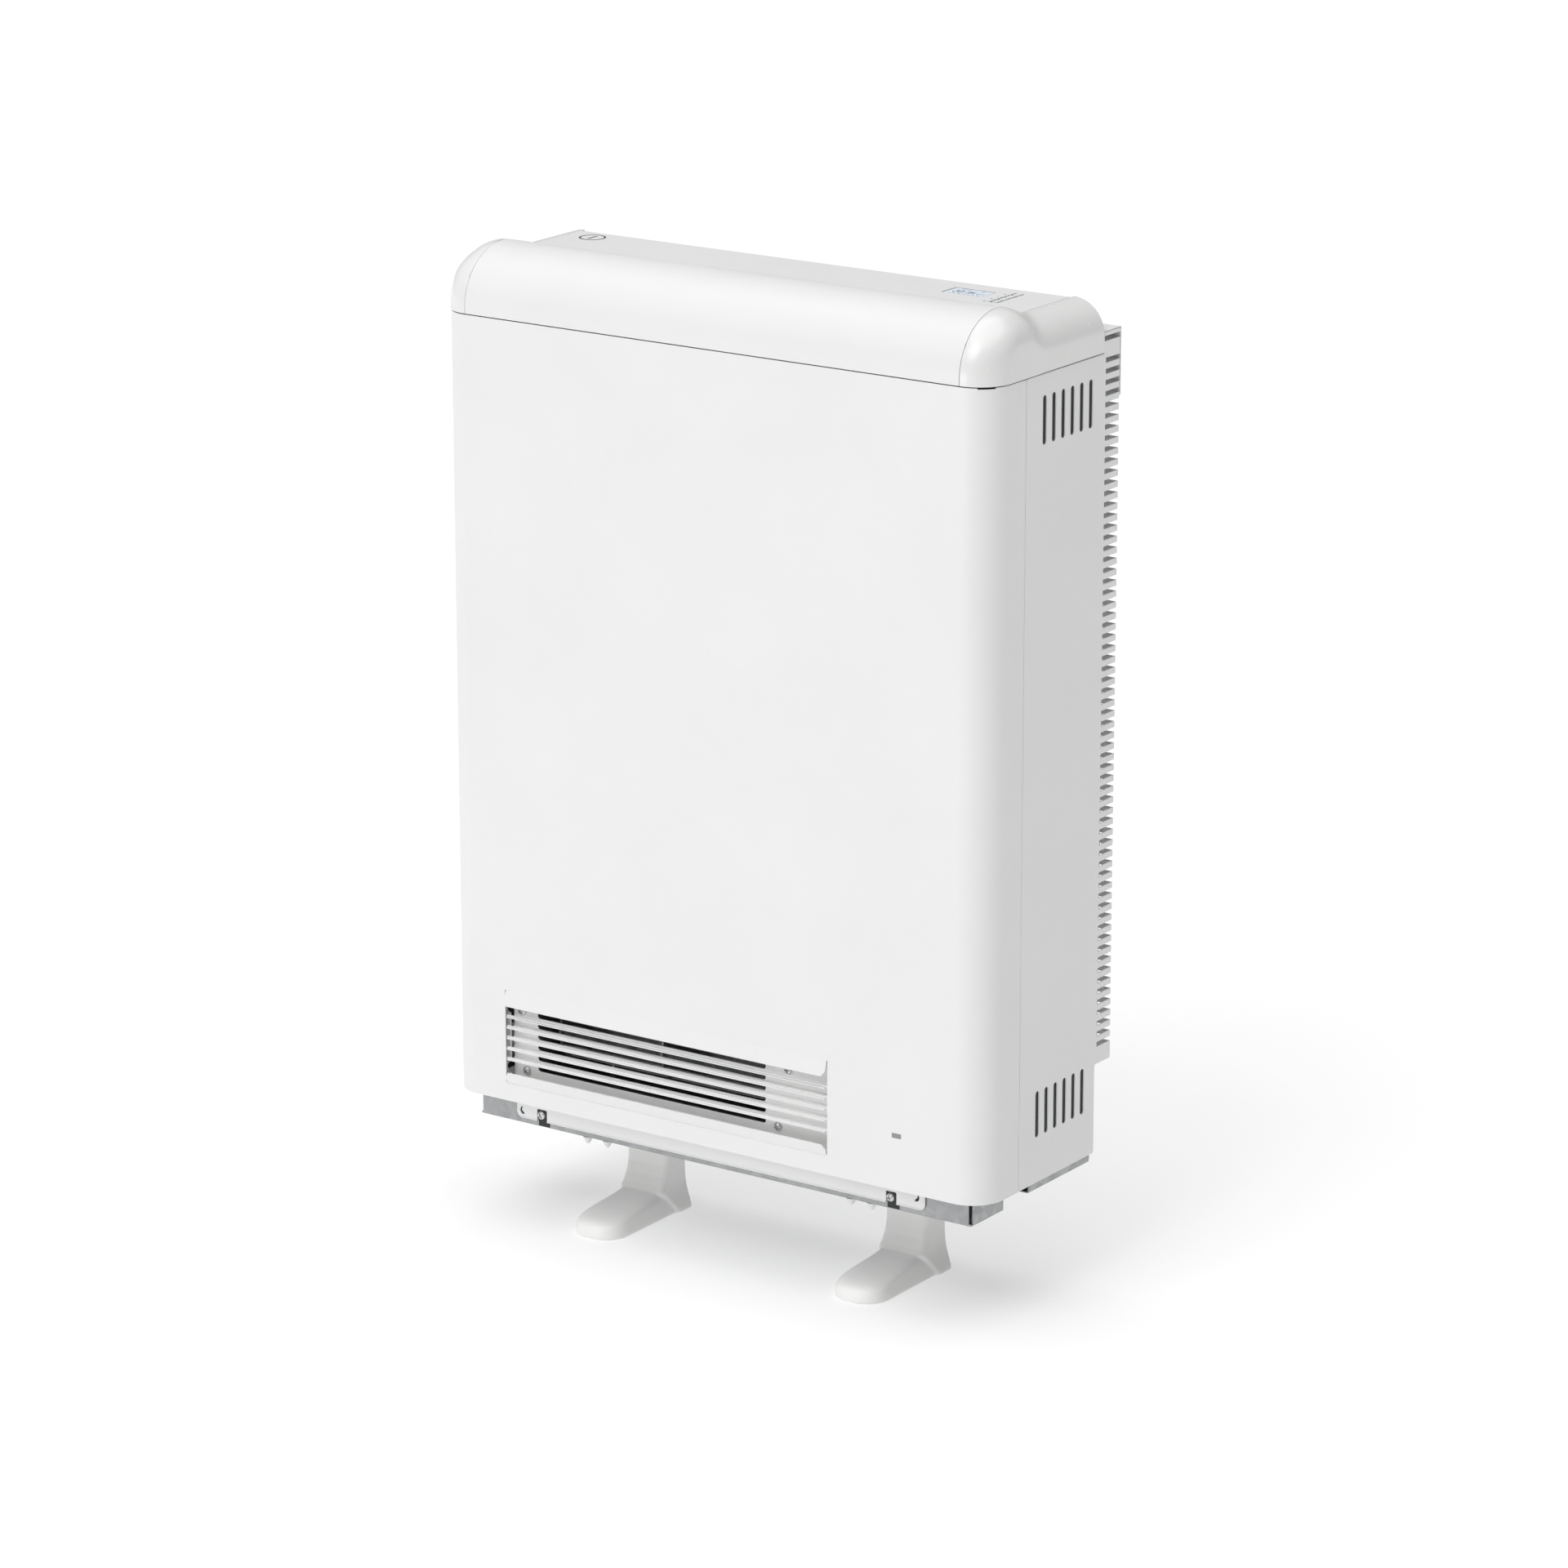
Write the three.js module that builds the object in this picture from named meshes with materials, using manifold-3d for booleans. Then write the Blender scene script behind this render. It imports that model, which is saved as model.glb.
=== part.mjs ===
// Storage heater: sheet-steel casing with moulded top end caps, a louvred warm-air
// outlet at the lower left, side vents, rear spacing combs and two boot-shaped feet.
// Millimetres, +Z up. Heater coordinates inside the file: x is centred, y = 0 is the
// face of the front panel and grows towards the wall, z = 0 is the underside of the
// base tray. The exported group shifts them so that the origin lies on the floor,
// in the middle of the outer box.
import * as THREE from 'three';
import { mergeVertices } from 'three/addons/utils/BufferGeometryUtils.js';
import Module from 'manifold-3d';

const wasm = await Module();
wasm.setup();

// ---------------------------------------------------------------- dimensions
const HALF_W = 266.15;          // half width over the side panels
const CAP_HALF_W = 267;         // half width over the moulded end caps
const SHEET = 1.2;              // casing sheet thickness
const FOOT_H = 87;              // floor to underside of the base tray
const PANEL_BOTTOM = 23.2;      // lower edge of the front panel
const PANEL_TOP = 686.9;        // upper edge of the front panel
const COVER_BOTTOM = 687.7;     // lower edge of the top cover and end caps
const TOP_FLAT = 730;           // flat rear part of the top
const TOP_CREST = 740;          // crest of the bull-nose
const CREST_Y = 53;
const VALLEY_Y = 95;
const CASE_DEPTH = 165;         // front panel face to rear edge of the side panel
const COMB_BACK = 189;          // rear face of the spacing comb
const RAIL_BACK = 190.8;        // rear face of the wall rail
const LIP_FRONT = -3.8;         // foremost edge of the outlet hood
const SEAM_X = 238;             // joint plane between top cover and end cap
const SIDE_SEAM_Y = 52;         // joint between front panel and side panel
const CORNER_RX = 28, CORNER_RY = 30;
const COMB_PITCH = 8.978, COMB_SLOT = 4.0, COMB_FIRST_Z = 115.5, COMB_COUNT = 64;
const COMB_BOTTOM = 99, COMB_TOP = 696.6;
const COMB_Y0 = 168, COMB_FLANGE_X = 240, COMB_SLOT_X = 254;
const VENT_Y = [79, 92.5, 106, 119.5, 133, 146.5];
const VENT_W = 4.6, VENT_LOW = [62, 100.8], VENT_HIGH = [630.5, 669.8];
const OUT_X0 = -206.6, OUT_X1 = 116.5, OUT_Z0 = 40, OUT_Z1 = 120;  // outlet opening
const HOOD_X1 = 114.8, HOOD_Z = 106.9, LIP_TOP = 48.5;         // hood and lower lip folded out of it
const BAR_PITCH = 9.28, BAR_COUNT = 5, BAR_TOP_Z = 95.3, BAR_H = 2.7;
const SLOT_COUNT = 6, SLOT_TOP_Z = 96.65, SLOT_H = 5, SLOT_X0 = -181.6, SLOT_X1 = 48.6;
const PLATE_Y = 11.5;
const TRAY_REAR_HALF_W = 214, TRAY_STEP_Y = 63.4;
const TRAY_HALF_W = 244.9, TRAY_Y0 = 15.3, TRAY_Y1 = 159.6, TRAY_H = 30, TRAY_T = 1.5;
const FOOT_X = 131;
const GLAND = [186, 138];
const LCD = { x0: 143, x1: 181, y0: 119, y1: 141.5 };
const KEY = { x0: 190.2, y0: 107.6, px: 6.8, py: 10, w: 5.4, d: 8.4, cols: 2, rows: 4 };
const FAN = { y: 64, z: 79, r: 31, x0: -176, x1: 42 };
const BRICK = { w: 196, d: 88, h: 118, y0: 44, z0: 152, gap: 0.4 };
const FIX_SCREWS = [[-181.3, 10.6], [168.4, 10.2]];
const PLATE_SCREWS = [[-197.2, 100.3], [-193.0, 48.8], [70.9, 100.4], [61.0, 50.2]];

// ---------------------------------------------------------------- helpers
function solid(geometry) {
  let g = geometry.clone();
  g.deleteAttribute('normal');
  g.deleteAttribute('uv');
  g = mergeVertices(g, 1e-4);
  const idx = g.index.array;
  const tri = [];
  for (let i = 0; i < idx.length; i += 3) {
    const a = idx[i], b = idx[i + 1], c = idx[i + 2];
    if (a !== b && b !== c && c !== a) tri.push(a, b, c);
  }
  return new wasm.Manifold(new wasm.Mesh({
    numProp: 3,
    vertProperties: new Float32Array(g.attributes.position.array),
    triVerts: new Uint32Array(tri),
  }));
}
function surface(man) {
  const m = man.getMesh();
  const g = new THREE.BufferGeometry();
  g.setAttribute('position', new THREE.BufferAttribute(new Float32Array(m.vertProperties), 3));
  g.setIndex(new THREE.BufferAttribute(new Uint32Array(m.triVerts), 1));
  g.computeVertexNormals();
  return g;
}
// box from its lowest to its highest corner
function block(x0, x1, y0, y1, z0, z1) {
  const g = new THREE.BoxGeometry(x1 - x0, y1 - y0, z1 - z0);
  g.translate((x0 + x1) / 2, (y0 + y1) / 2, (z0 + z1) / 2);
  return g;
}
const B = (...a) => solid(block(...a));
function shapeOf(pts) {
  const s = new THREE.Shape();
  s.moveTo(pts[0][0], pts[0][1]);
  for (let i = 1; i < pts.length; i++) s.lineTo(pts[i][0], pts[i][1]);
  s.closePath();
  return s;
}
const flat = { bevelEnabled: false, steps: 1 };
// outline in (x, y), swept from z0 to z1
function alongZ(shapes, z0, z1) {
  const g = new THREE.ExtrudeGeometry(shapes, { ...flat, depth: z1 - z0 });
  g.translate(0, 0, z0);
  return g;
}
// outline in (y, z), swept from x0 to x1
function alongX(shapes, x0, x1) {
  const g = new THREE.ExtrudeGeometry(shapes, { ...flat, depth: x1 - x0 });
  g.applyMatrix4(new THREE.Matrix4().makeBasis(
    new THREE.Vector3(0, 1, 0), new THREE.Vector3(0, 0, 1), new THREE.Vector3(1, 0, 0)));
  g.translate(x0, 0, 0);
  return g;
}
// outline in (x, z), swept from y0 to y1
function alongY(shapes, y0, y1) {
  const g = new THREE.ExtrudeGeometry(shapes, { ...flat, depth: y1 - y0 });
  g.applyMatrix4(new THREE.Matrix4().makeBasis(
    new THREE.Vector3(1, 0, 0), new THREE.Vector3(0, 0, 1), new THREE.Vector3(0, -1, 0)));
  g.translate(0, y1, 0);
  return g;
}
function rod(r, x0, x1, y, z, seg = 16) {
  const g = new THREE.CylinderGeometry(r, r, x1 - x0, seg);
  g.rotateZ(Math.PI / 2);
  g.translate((x0 + x1) / 2, y, z);
  return g;
}
// round body of revolution about an axis along +Y, profile [radius, distance along y]
function turnedY(profile, x, y, z, seg = 14) {
  const g = new THREE.LatheGeometry(profile.map(p => new THREE.Vector2(p[0], p[1])), seg);
  g.translate(x, y, z);
  return g;
}
const mirror = man => man.mirror([1, 0, 0]);

const root = new THREE.Group();
const body = new THREE.Group();
body.position.set(0, -(LIP_FRONT + RAIL_BACK) / 2, FOOT_H);
root.add(body);

const finish = {
  white: { color: 0xeeeeec, roughness: 0.42, metalness: 0.0 },
  cap: { color: 0xecedeb, roughness: 0.3, metalness: 0.0 },
  galv: { color: 0xb9bdc0, roughness: 0.45, metalness: 0.85 },
  foot: { color: 0xdcdcd9, roughness: 0.5, metalness: 0.0 },
  screw: { color: 0xd9dadb, roughness: 0.3, metalness: 0.9 },
  brick: { color: 0x3a2f2b, roughness: 0.95, metalness: 0.0 },
  wool: { color: 0xc9c4b8, roughness: 1.0, metalness: 0.0 },
  element: { color: 0x6f675f, roughness: 0.5, metalness: 0.8 },
  black: { color: 0x222326, roughness: 0.6, metalness: 0.0 },
  board: { color: 0x2f6b45, roughness: 0.5, metalness: 0.1 },
  lcd: { color: 0xdde5f2, roughness: 0.15, metalness: 0.0 },
  key: { color: 0xd9dad8, roughness: 0.5, metalness: 0.0 },
  terminal: { color: 0xe6e1d2, roughness: 0.6, metalness: 0.0 },
};
function place(name, geometry, mat) {
  const mesh = new THREE.Mesh(geometry, new THREE.MeshStandardMaterial(finish[mat]));
  mesh.name = name;
  body.add(mesh);
  return mesh;
}

// ---------------------------------------------------------------- front panel
function panelOutline(inset) {
  const hw = HALF_W - inset, rx = CORNER_RX - inset, ry = CORNER_RY - inset, n = 9, p = [];
  p.push([-hw, SIDE_SEAM_Y]);
  for (let i = 0; i <= n; i++) {
    const a = (i / n) * Math.PI / 2;
    p.push([-hw + rx - rx * Math.cos(a), inset + ry - ry * Math.sin(a)]);
  }
  for (let i = n; i >= 0; i--) {
    const a = (i / n) * Math.PI / 2;
    p.push([hw - rx + rx * Math.cos(a), inset + ry - ry * Math.sin(a)]);
  }
  p.push([hw, SIDE_SEAM_Y]);
  return p;
}
{
  const outline = [...panelOutline(0), ...panelOutline(SHEET).reverse()];
  let m = solid(alongZ(shapeOf(outline), PANEL_BOTTOM, PANEL_TOP));
  m = m.subtract(B(OUT_X0, OUT_X1, -2, 4, OUT_Z0, OUT_Z1));
  // hood and lower lip, folded forward out of the panel, their free corners cut off
  const hood = solid(alongX(shapeOf([[0, 120.3], [LIP_FRONT, HOOD_Z + 0.5], [LIP_FRONT + 1.15, HOOD_Z],
    [SHEET, 119.6], [SHEET, 120.3]]), OUT_X0, HOOD_X1));
  m = m.add(hood.intersect(solid(alongY(shapeOf([[OUT_X0, 122], [OUT_X0, 111], [OUT_X0 + 3, 106], [HOOD_X1 - 3.4, 106],
    [HOOD_X1, 111], [HOOD_X1, 122]]), -6, 3))));
  const lip = solid(alongX(shapeOf([[0, 39.7], [SHEET, 39.7], [SHEET, 40.6], [-1.9, LIP_TOP], [-3.0, LIP_TOP - 0.3]]), OUT_X0, HOOD_X1));
  m = m.add(lip.intersect(solid(alongY(shapeOf([[OUT_X0, 39], [HOOD_X1, 39], [HOOD_X1, 44.5], [HOOD_X1 - 3.4, 50],
    [OUT_X0 + 3, 50], [OUT_X0, 44.5]]), -6, 3))));
  place('front_panel', surface(m), 'white');
}

// ---------------------------------------------------------------- side panels with rear comb
{
  const sheetShape = shapeOf([[SIDE_SEAM_Y + 0.4, PANEL_BOTTOM + 0.4], [CASE_DEPTH, PANEL_BOTTOM + 0.4],
    [CASE_DEPTH, COMB_BOTTOM], [COMB_BACK, COMB_BOTTOM], [COMB_BACK, COMB_TOP],
    [CASE_DEPTH + 0.4, COMB_TOP], [CASE_DEPTH + 0.4, PANEL_TOP], [SIDE_SEAM_Y + 0.4, PANEL_TOP]]);
  let m = solid(alongX(sheetShape, HALF_W - SHEET, HALF_W));
  m = m.add(B(COMB_FLANGE_X, HALF_W, COMB_BACK - SHEET, COMB_BACK, COMB_BOTTOM, COMB_TOP));
  const cuts = [];
  for (let i = 0; i < COMB_COUNT; i++) {
    const z = COMB_FIRST_Z + i * COMB_PITCH;
    cuts.push(shapeOf([[COMB_Y0, z - COMB_SLOT / 2], [COMB_BACK + 2, z - COMB_SLOT / 2],
      [COMB_BACK + 2, z + COMB_SLOT / 2], [COMB_Y0, z + COMB_SLOT / 2]]));
  }
  m = m.subtract(solid(alongX(cuts, COMB_SLOT_X, HALF_W + 2)));
  const vents = [];
  for (const y of VENT_Y) for (const [a, b] of [VENT_LOW, VENT_HIGH]) {
    const r = VENT_W / 2, p = [], n = 5;
    for (let i = 0; i <= n; i++) p.push([y + r * Math.cos(Math.PI * i / n), b - r + r * Math.sin(Math.PI * i / n)]);
    for (let i = 0; i <= n; i++) p.push([y - r * Math.cos(Math.PI * i / n), a + r - r * Math.sin(Math.PI * i / n)]);
    vents.push(shapeOf(p));
  }
  m = m.subtract(solid(alongX(vents, HALF_W - 3, HALF_W + 2)));
  place('side_panel_right', surface(m), 'white');
  place('side_panel_left', surface(mirror(m)), 'white');
}

// ---------------------------------------------------------------- top cover
const crestProfile = y => (y <= CREST_Y
  ? 692 + 48 * Math.sqrt(Math.max(0, 1 - ((CREST_Y - y) / 53) ** 2))
  : y >= VALLEY_Y ? TOP_FLAT
    : 735 + 5 * Math.cos(Math.PI * (y - CREST_Y) / (VALLEY_Y - CREST_Y)));
{
  const t = 1.6, outer = [], inner = [];
  outer.push([0, COVER_BOTTOM]); inner.push([t, COVER_BOTTOM]);
  outer.push([0, 692]); inner.push([t, 692]);
  for (let i = 1; i <= 10; i++) {
    const a = (i / 10) * Math.PI / 2;
    outer.push([53 - 53 * Math.cos(a), 692 + 48 * Math.sin(a)]);
    inner.push([53 - (53 - t) * Math.cos(a), 692 + (48 - t) * Math.sin(a)]);
  }
  for (const y of [60, 67, 74, 81, 88, 95]) { outer.push([y, crestProfile(y)]); inner.push([y, crestProfile(y) - t]); }
  outer.push([161.5, TOP_FLAT]); outer.push([161.5, 704]);
  inner.push([161.5 - t, TOP_FLAT - t]); inner.push([161.5 - t, 704]);
  let m = solid(alongX(shapeOf([...outer, ...inner.reverse()]), -SEAM_X + 0.4, SEAM_X - 0.4));
  m = m.subtract(B(LCD.x0, LCD.x1, LCD.y0, LCD.y1, 720, 735));
  for (let i = 0; i < KEY.cols; i++) for (let j = 0; j < KEY.rows; j++) {
    const x = KEY.x0 + i * KEY.px, y = KEY.y0 + j * KEY.py;
    m = m.subtract(B(x, x + KEY.w + 0.6, y, y + KEY.d + 0.6, 720, 735));
  }
  place('top_cover', surface(m), 'white');
}

// ---------------------------------------------------------------- moulded end caps
// closed volume under the cap skin, set in by e from the outer skin
function capVolume(e, zBottom, yBack) {
  const zb = 692, b = 48 - e, a = 53 - e, rs = 29 - e, zc = 711, hw = CAP_HALF_W - e;
  const zRow = [zBottom, 692, 697.5, 704];
  for (let i = 0; i <= 6; i++) zRow.push(zc + rs * Math.sin(i / 6 * Math.PI / 2));
  const frontY = z => (z <= zb ? CREST_Y - a : CREST_Y - a * Math.sqrt(Math.max(0, 1 - ((z - zb) / b) ** 2)));
  const sideX = z => (z <= zc ? hw : hw - rs + rs * Math.sqrt(Math.max(0, 1 - ((z - zc) / rs) ** 2)));
  const rearY = [62, 71, 80, 88, VALLEY_Y, yBack];
  const cols = [];
  const n = 7;
  for (let c = 0; c <= n + 1; c++) {
    cols.push(zRow.map(z => {
      const X = sideX(z), Y = frontY(z);
      const rx = Math.min(28 - e, X - SEAM_X), ry = Math.min(30 - e, CREST_Y - Y);
      if (c === 0) return [SEAM_X, Y, z];
      const t = (c - 1) / n * Math.PI / 2;
      return [X - rx + rx * Math.sin(t), Y + ry - ry * Math.cos(t), z];
    }));
  }
  for (const y of [CREST_Y, ...rearY]) {
    const top = crestProfile(y) - e;
    cols.push(zRow.map((z, k) => {
      const zz = k < 4 ? zBottom + (z - zBottom) * (top - rs - zBottom) / (zc - zBottom)
        : z - (TOP_CREST - e - top);
      return [sideX(z), y, zz];
    }));
  }
  const pos = [], R = zRow.length, C = cols.length;
  const tri = (p, q, r) => pos.push(...p, ...q, ...r);
  for (let c = 0; c < C - 1; c++) for (let r = 0; r < R - 1; r++) {
    const A = cols[c][r], Bq = cols[c + 1][r], D = cols[c + 1][r + 1], E = cols[c][r + 1];
    tri(A, Bq, D); tri(A, D, E);
  }
  const foot = [SEAM_X, yBack, zBottom];
  for (let c = 0; c < C - 1; c++) tri(foot, cols[c + 1][0], cols[c][0]);               // underside
  for (let r = 0; r < R - 1; r++) tri(foot, cols[C - 1][r + 1], cols[C - 1][r]);       // back
  const rim = cols[0].slice();                                                         // joint plane
  for (let c = n + 1; c < C; c++) rim.push(cols[c][R - 1]);
  for (let i = 0; i < rim.length - 1; i++) tri(foot, rim[i], rim[i + 1]);
  const g = new THREE.BufferGeometry();
  g.setAttribute('position', new THREE.BufferAttribute(new Float32Array(pos), 3));
  return g;
}
{
  const outer = solid(capVolume(0, COVER_BOTTOM, CASE_DEPTH - 0.4));
  const inner = solid(capVolume(2.6, COVER_BOTTOM - 6, CASE_DEPTH - 3.2)).translate([-0.6, 0, 0]);
  const m = outer.subtract(inner);
  place('end_cap_right', surface(m), 'cap');
  place('end_cap_left', surface(mirror(m)), 'cap');
}

// ---------------------------------------------------------------- base tray
// full width in front, narrower behind; its walls stand up all round except at the step
{
  const [w, wr, y0, ys, y1, h, t] = [TRAY_HALF_W, TRAY_REAR_HALF_W, TRAY_Y0, TRAY_STEP_Y, TRAY_Y1, TRAY_H, TRAY_T];
  let m = B(-w, w, y0, ys, 0, h).add(B(-wr, wr, ys - 1, y1, 0, h))
    .subtract(B(-w + t, w - t, y0 + t, ys + 1, t, h + 5)).subtract(B(-wr + t, wr - t, ys - 2, y1 - t, t, h + 5));
  for (const s of [-1, 1]) {   // open front corners
    const a = s > 0 ? [w - t - 0.3, w + 1] : [-w - 1, -w + t + 0.3];
    m = m.subtract(B(a[0], a[1], y0 - 1, y0 + 3.4, t, h + 5));
  }
  for (const [x, z] of FIX_SCREWS) {
    m = m.subtract(solid(turnedY([[0, -2], [2.4, -2], [2.4, 6], [0, 6]], x, y0, z, 10)));
    m = m.subtract(B(x - 2.4, x + 7.8, y0 - 1, y0 + t + 0.2, 0.6, 4.6));
  }
  m = m.subtract(solid(alongZ(new THREE.Shape().absarc(GLAND[0], GLAND[1], 8.5, 0, Math.PI * 2), -1, 3)));
  for (const [x, y] of [[-137, 20], [-117, 20], [127, 20], [147, 20]])
    m = m.subtract(B(x - 1.9, x + 1.9, y - 1.9, y + 1.9, -1, 3));
  place('base_tray', surface(m), 'galv');
}

// ---------------------------------------------------------------- front fixing strip
{
  const z0 = 5.6, z1 = 31, x0 = -206, x1 = 202, c = 4;
  const p = [[x0, z0 + c], [x0 + 1.2, z0 + 1.2], [x0 + c, z0], [x1 - c, z0], [x1 - 1.2, z0 + 1.2], [x1, z0 + c], [x1, z1], [x0, z1]];
  let m = solid(alongY(shapeOf(p), 13.7, 15.0));
  for (const [x, z] of FIX_SCREWS) m = m.subtract(B(x - 4.2, x + 4.8, 12, 16, z0 - 1, z + 4.2));
  for (const x of [-200, 194.5]) m = m.subtract(B(x - 1.6, x + 1.6, 12, 16, 11, 16));
  place('front_fixing_strip', surface(m), 'white');
}

// ---------------------------------------------------------------- screws
function panScrew(x, y, z, r, h, shankR, len) {
  let m = solid(turnedY([[0, 0], [r * 0.62, 0.15], [r * 0.93, 0.9], [r, h], [shankR, h], [shankR, h + len], [0, h + len]], x, y, z, 14));
  m = m.subtract(B(x - r * 0.62, x + r * 0.62, y - 1, y + 1.1, z - 0.45, z + 0.45));
  m = m.subtract(B(x - 0.45, x + 0.45, y - 1, y + 1.1, z - r * 0.62, z + r * 0.62));
  return surface(m);
}
FIX_SCREWS.forEach(([x, z], i) => place(`fixing_screw_${i ? 'right' : 'left'}`,
  panScrew(x, TRAY_Y0 - 2.7, z, 3.7, 2.4, 1.9, 4.4), 'screw'));
PLATE_SCREWS.forEach(([x, z], i) => place(`outlet_screw_${i + 1}`,
  panScrew(x, PLATE_Y - 2.6, z, 3.9, 2.3, 1.9, 6), 'screw'));

// ---------------------------------------------------------------- outlet grille and slotted plate
{
  // frame margins left and right, with a round relief at each corner of the left one
  let m = B(-216, OUT_X0 + 0.6, 6.5, 7.9, 42, 112).add(B(118, 124, 6.5, 7.9, 42, 112));
  for (const z of [50.6, 103.4])
    m = m.subtract(solid(turnedY([[0, -3], [5.2, -3], [5.2, 3], [0, 3]], -205.3, 7.2, z, 20)));
  for (let i = 0; i < BAR_COUNT; i++) {
    const z = BAR_TOP_Z - i * BAR_PITCH;
    // slat: upright strip whose lower edge is turned forward between the jambs
    m = m.add(B(-216, 124, 2.0, 3.2, z + 0.7, z + BAR_H));
    m = m.add(solid(alongX(shapeOf([[0.8, z + 0.1], [1.7, z], [3.2, z + 0.8], [3.2, z + 1.5], [2.0, z + 1.5], [0.8, z + 0.9]]),
      OUT_X0 + 0.4, 113.8)));
    m = m.add(B(-216, -212, 2.2, 7.6, z + 0.7, z + BAR_H)).add(B(119, 123.5, 2.2, 7.6, z + 0.7, z + BAR_H));
  }
  place('outlet_grille', surface(m), 'white');

  let p = B(-207.2, 122, PLATE_Y, PLATE_Y + 1, 37, 113);
  for (let i = 0; i < SLOT_COUNT; i++) {
    const z = SLOT_TOP_Z - i * BAR_PITCH, c = 1.2;
    p = p.subtract(solid(alongY(shapeOf([[SLOT_X0, z + c], [SLOT_X0 + c, z], [SLOT_X1 - c, z], [SLOT_X1, z + c], [SLOT_X1, z + SLOT_H - c],
      [SLOT_X1 - c, z + SLOT_H], [SLOT_X0 + c, z + SLOT_H], [SLOT_X0, z + SLOT_H - c]]), PLATE_Y - 1, PLATE_Y + 2)));
    // low stiffening rib under the slot
    if (i > 0 && i < SLOT_COUNT - 1)
      p = p.add(solid(alongX(shapeOf([[PLATE_Y + 0.2, z - 0.3], [PLATE_Y - 1, z - 0.9], [PLATE_Y - 1, z - 1.8], [PLATE_Y + 0.2, z - 2.4]]), -204, 120)));
  }
  for (const [x, z] of PLATE_SCREWS)
    p = p.subtract(solid(turnedY([[0, -2], [2.3, -2], [2.3, 3], [0, 3]], x, PLATE_Y, z, 10)));
  place('outlet_plate', surface(p), 'white');
}

// ---------------------------------------------------------------- fan unit
{
  const { y, z, r, x0, x1 } = FAN;
  // air box: open at the front behind the slotted plate and at the bottom for intake
  let h = B(-190, 54, 13, 112, 36, 122).subtract(B(-188.8, 52.8, 12, 110.8, 37.2, 120.8));
  h = h.subtract(B(-182, 46, 46, 100, 30, 38));
  h = h.subtract(solid(rod(7, 50, 58, y, z, 14)));
  place('fan_housing', surface(h), 'galv');
  // cross-flow rotor: end discs, centre disc, ring of blades, shaft
  let m = solid(rod(r, x0, x0 + 2, y, z, 16)).add(solid(rod(r, x1 - 2, x1, y, z, 16)))
    .add(solid(rod(r, -72, -70, y, z, 16))).add(solid(rod(3, x1 - 3, 66, y, z, 8)));
  m = m.add(solid(rod(3, x0 - 8, x0 + 1, y, z, 8)));
  for (let i = 0; i < 12; i++) {
    const a = i / 12 * Math.PI * 2;
    const g = new THREE.BoxGeometry(x1 - x0 - 1, 8, 1.2);
    g.rotateX(0.5);
    g.translate((x0 + x1) / 2, 0, r - 4.6);
    g.rotateX(a);
    g.translate(0, y, z);
    m = m.add(solid(g));
  }
  place('fan_rotor', surface(m), 'galv');
  let mo = solid(rod(24, 67.5, 96, y, z, 20)).add(B(70, 92, y - 30, y + 30, z - 34, z - 12));
  mo = mo.add(B(61, 63.4, y - 30, y + 30, z - 34, z + 26)).add(B(62, 72, y - 30, y - 26, z - 34, z + 20))
    .add(B(62, 72, y + 26, y + 30, z - 34, z + 20)).add(B(62, 72, y - 26, y + 26, z - 34, z - 28))
    .add(solid(rod(24, 70, 72, y, z, 20))).subtract(solid(rod(5, 50, 67.4, y, z, 14)));
  place('fan_motor', surface(mo), 'black');
}

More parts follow.
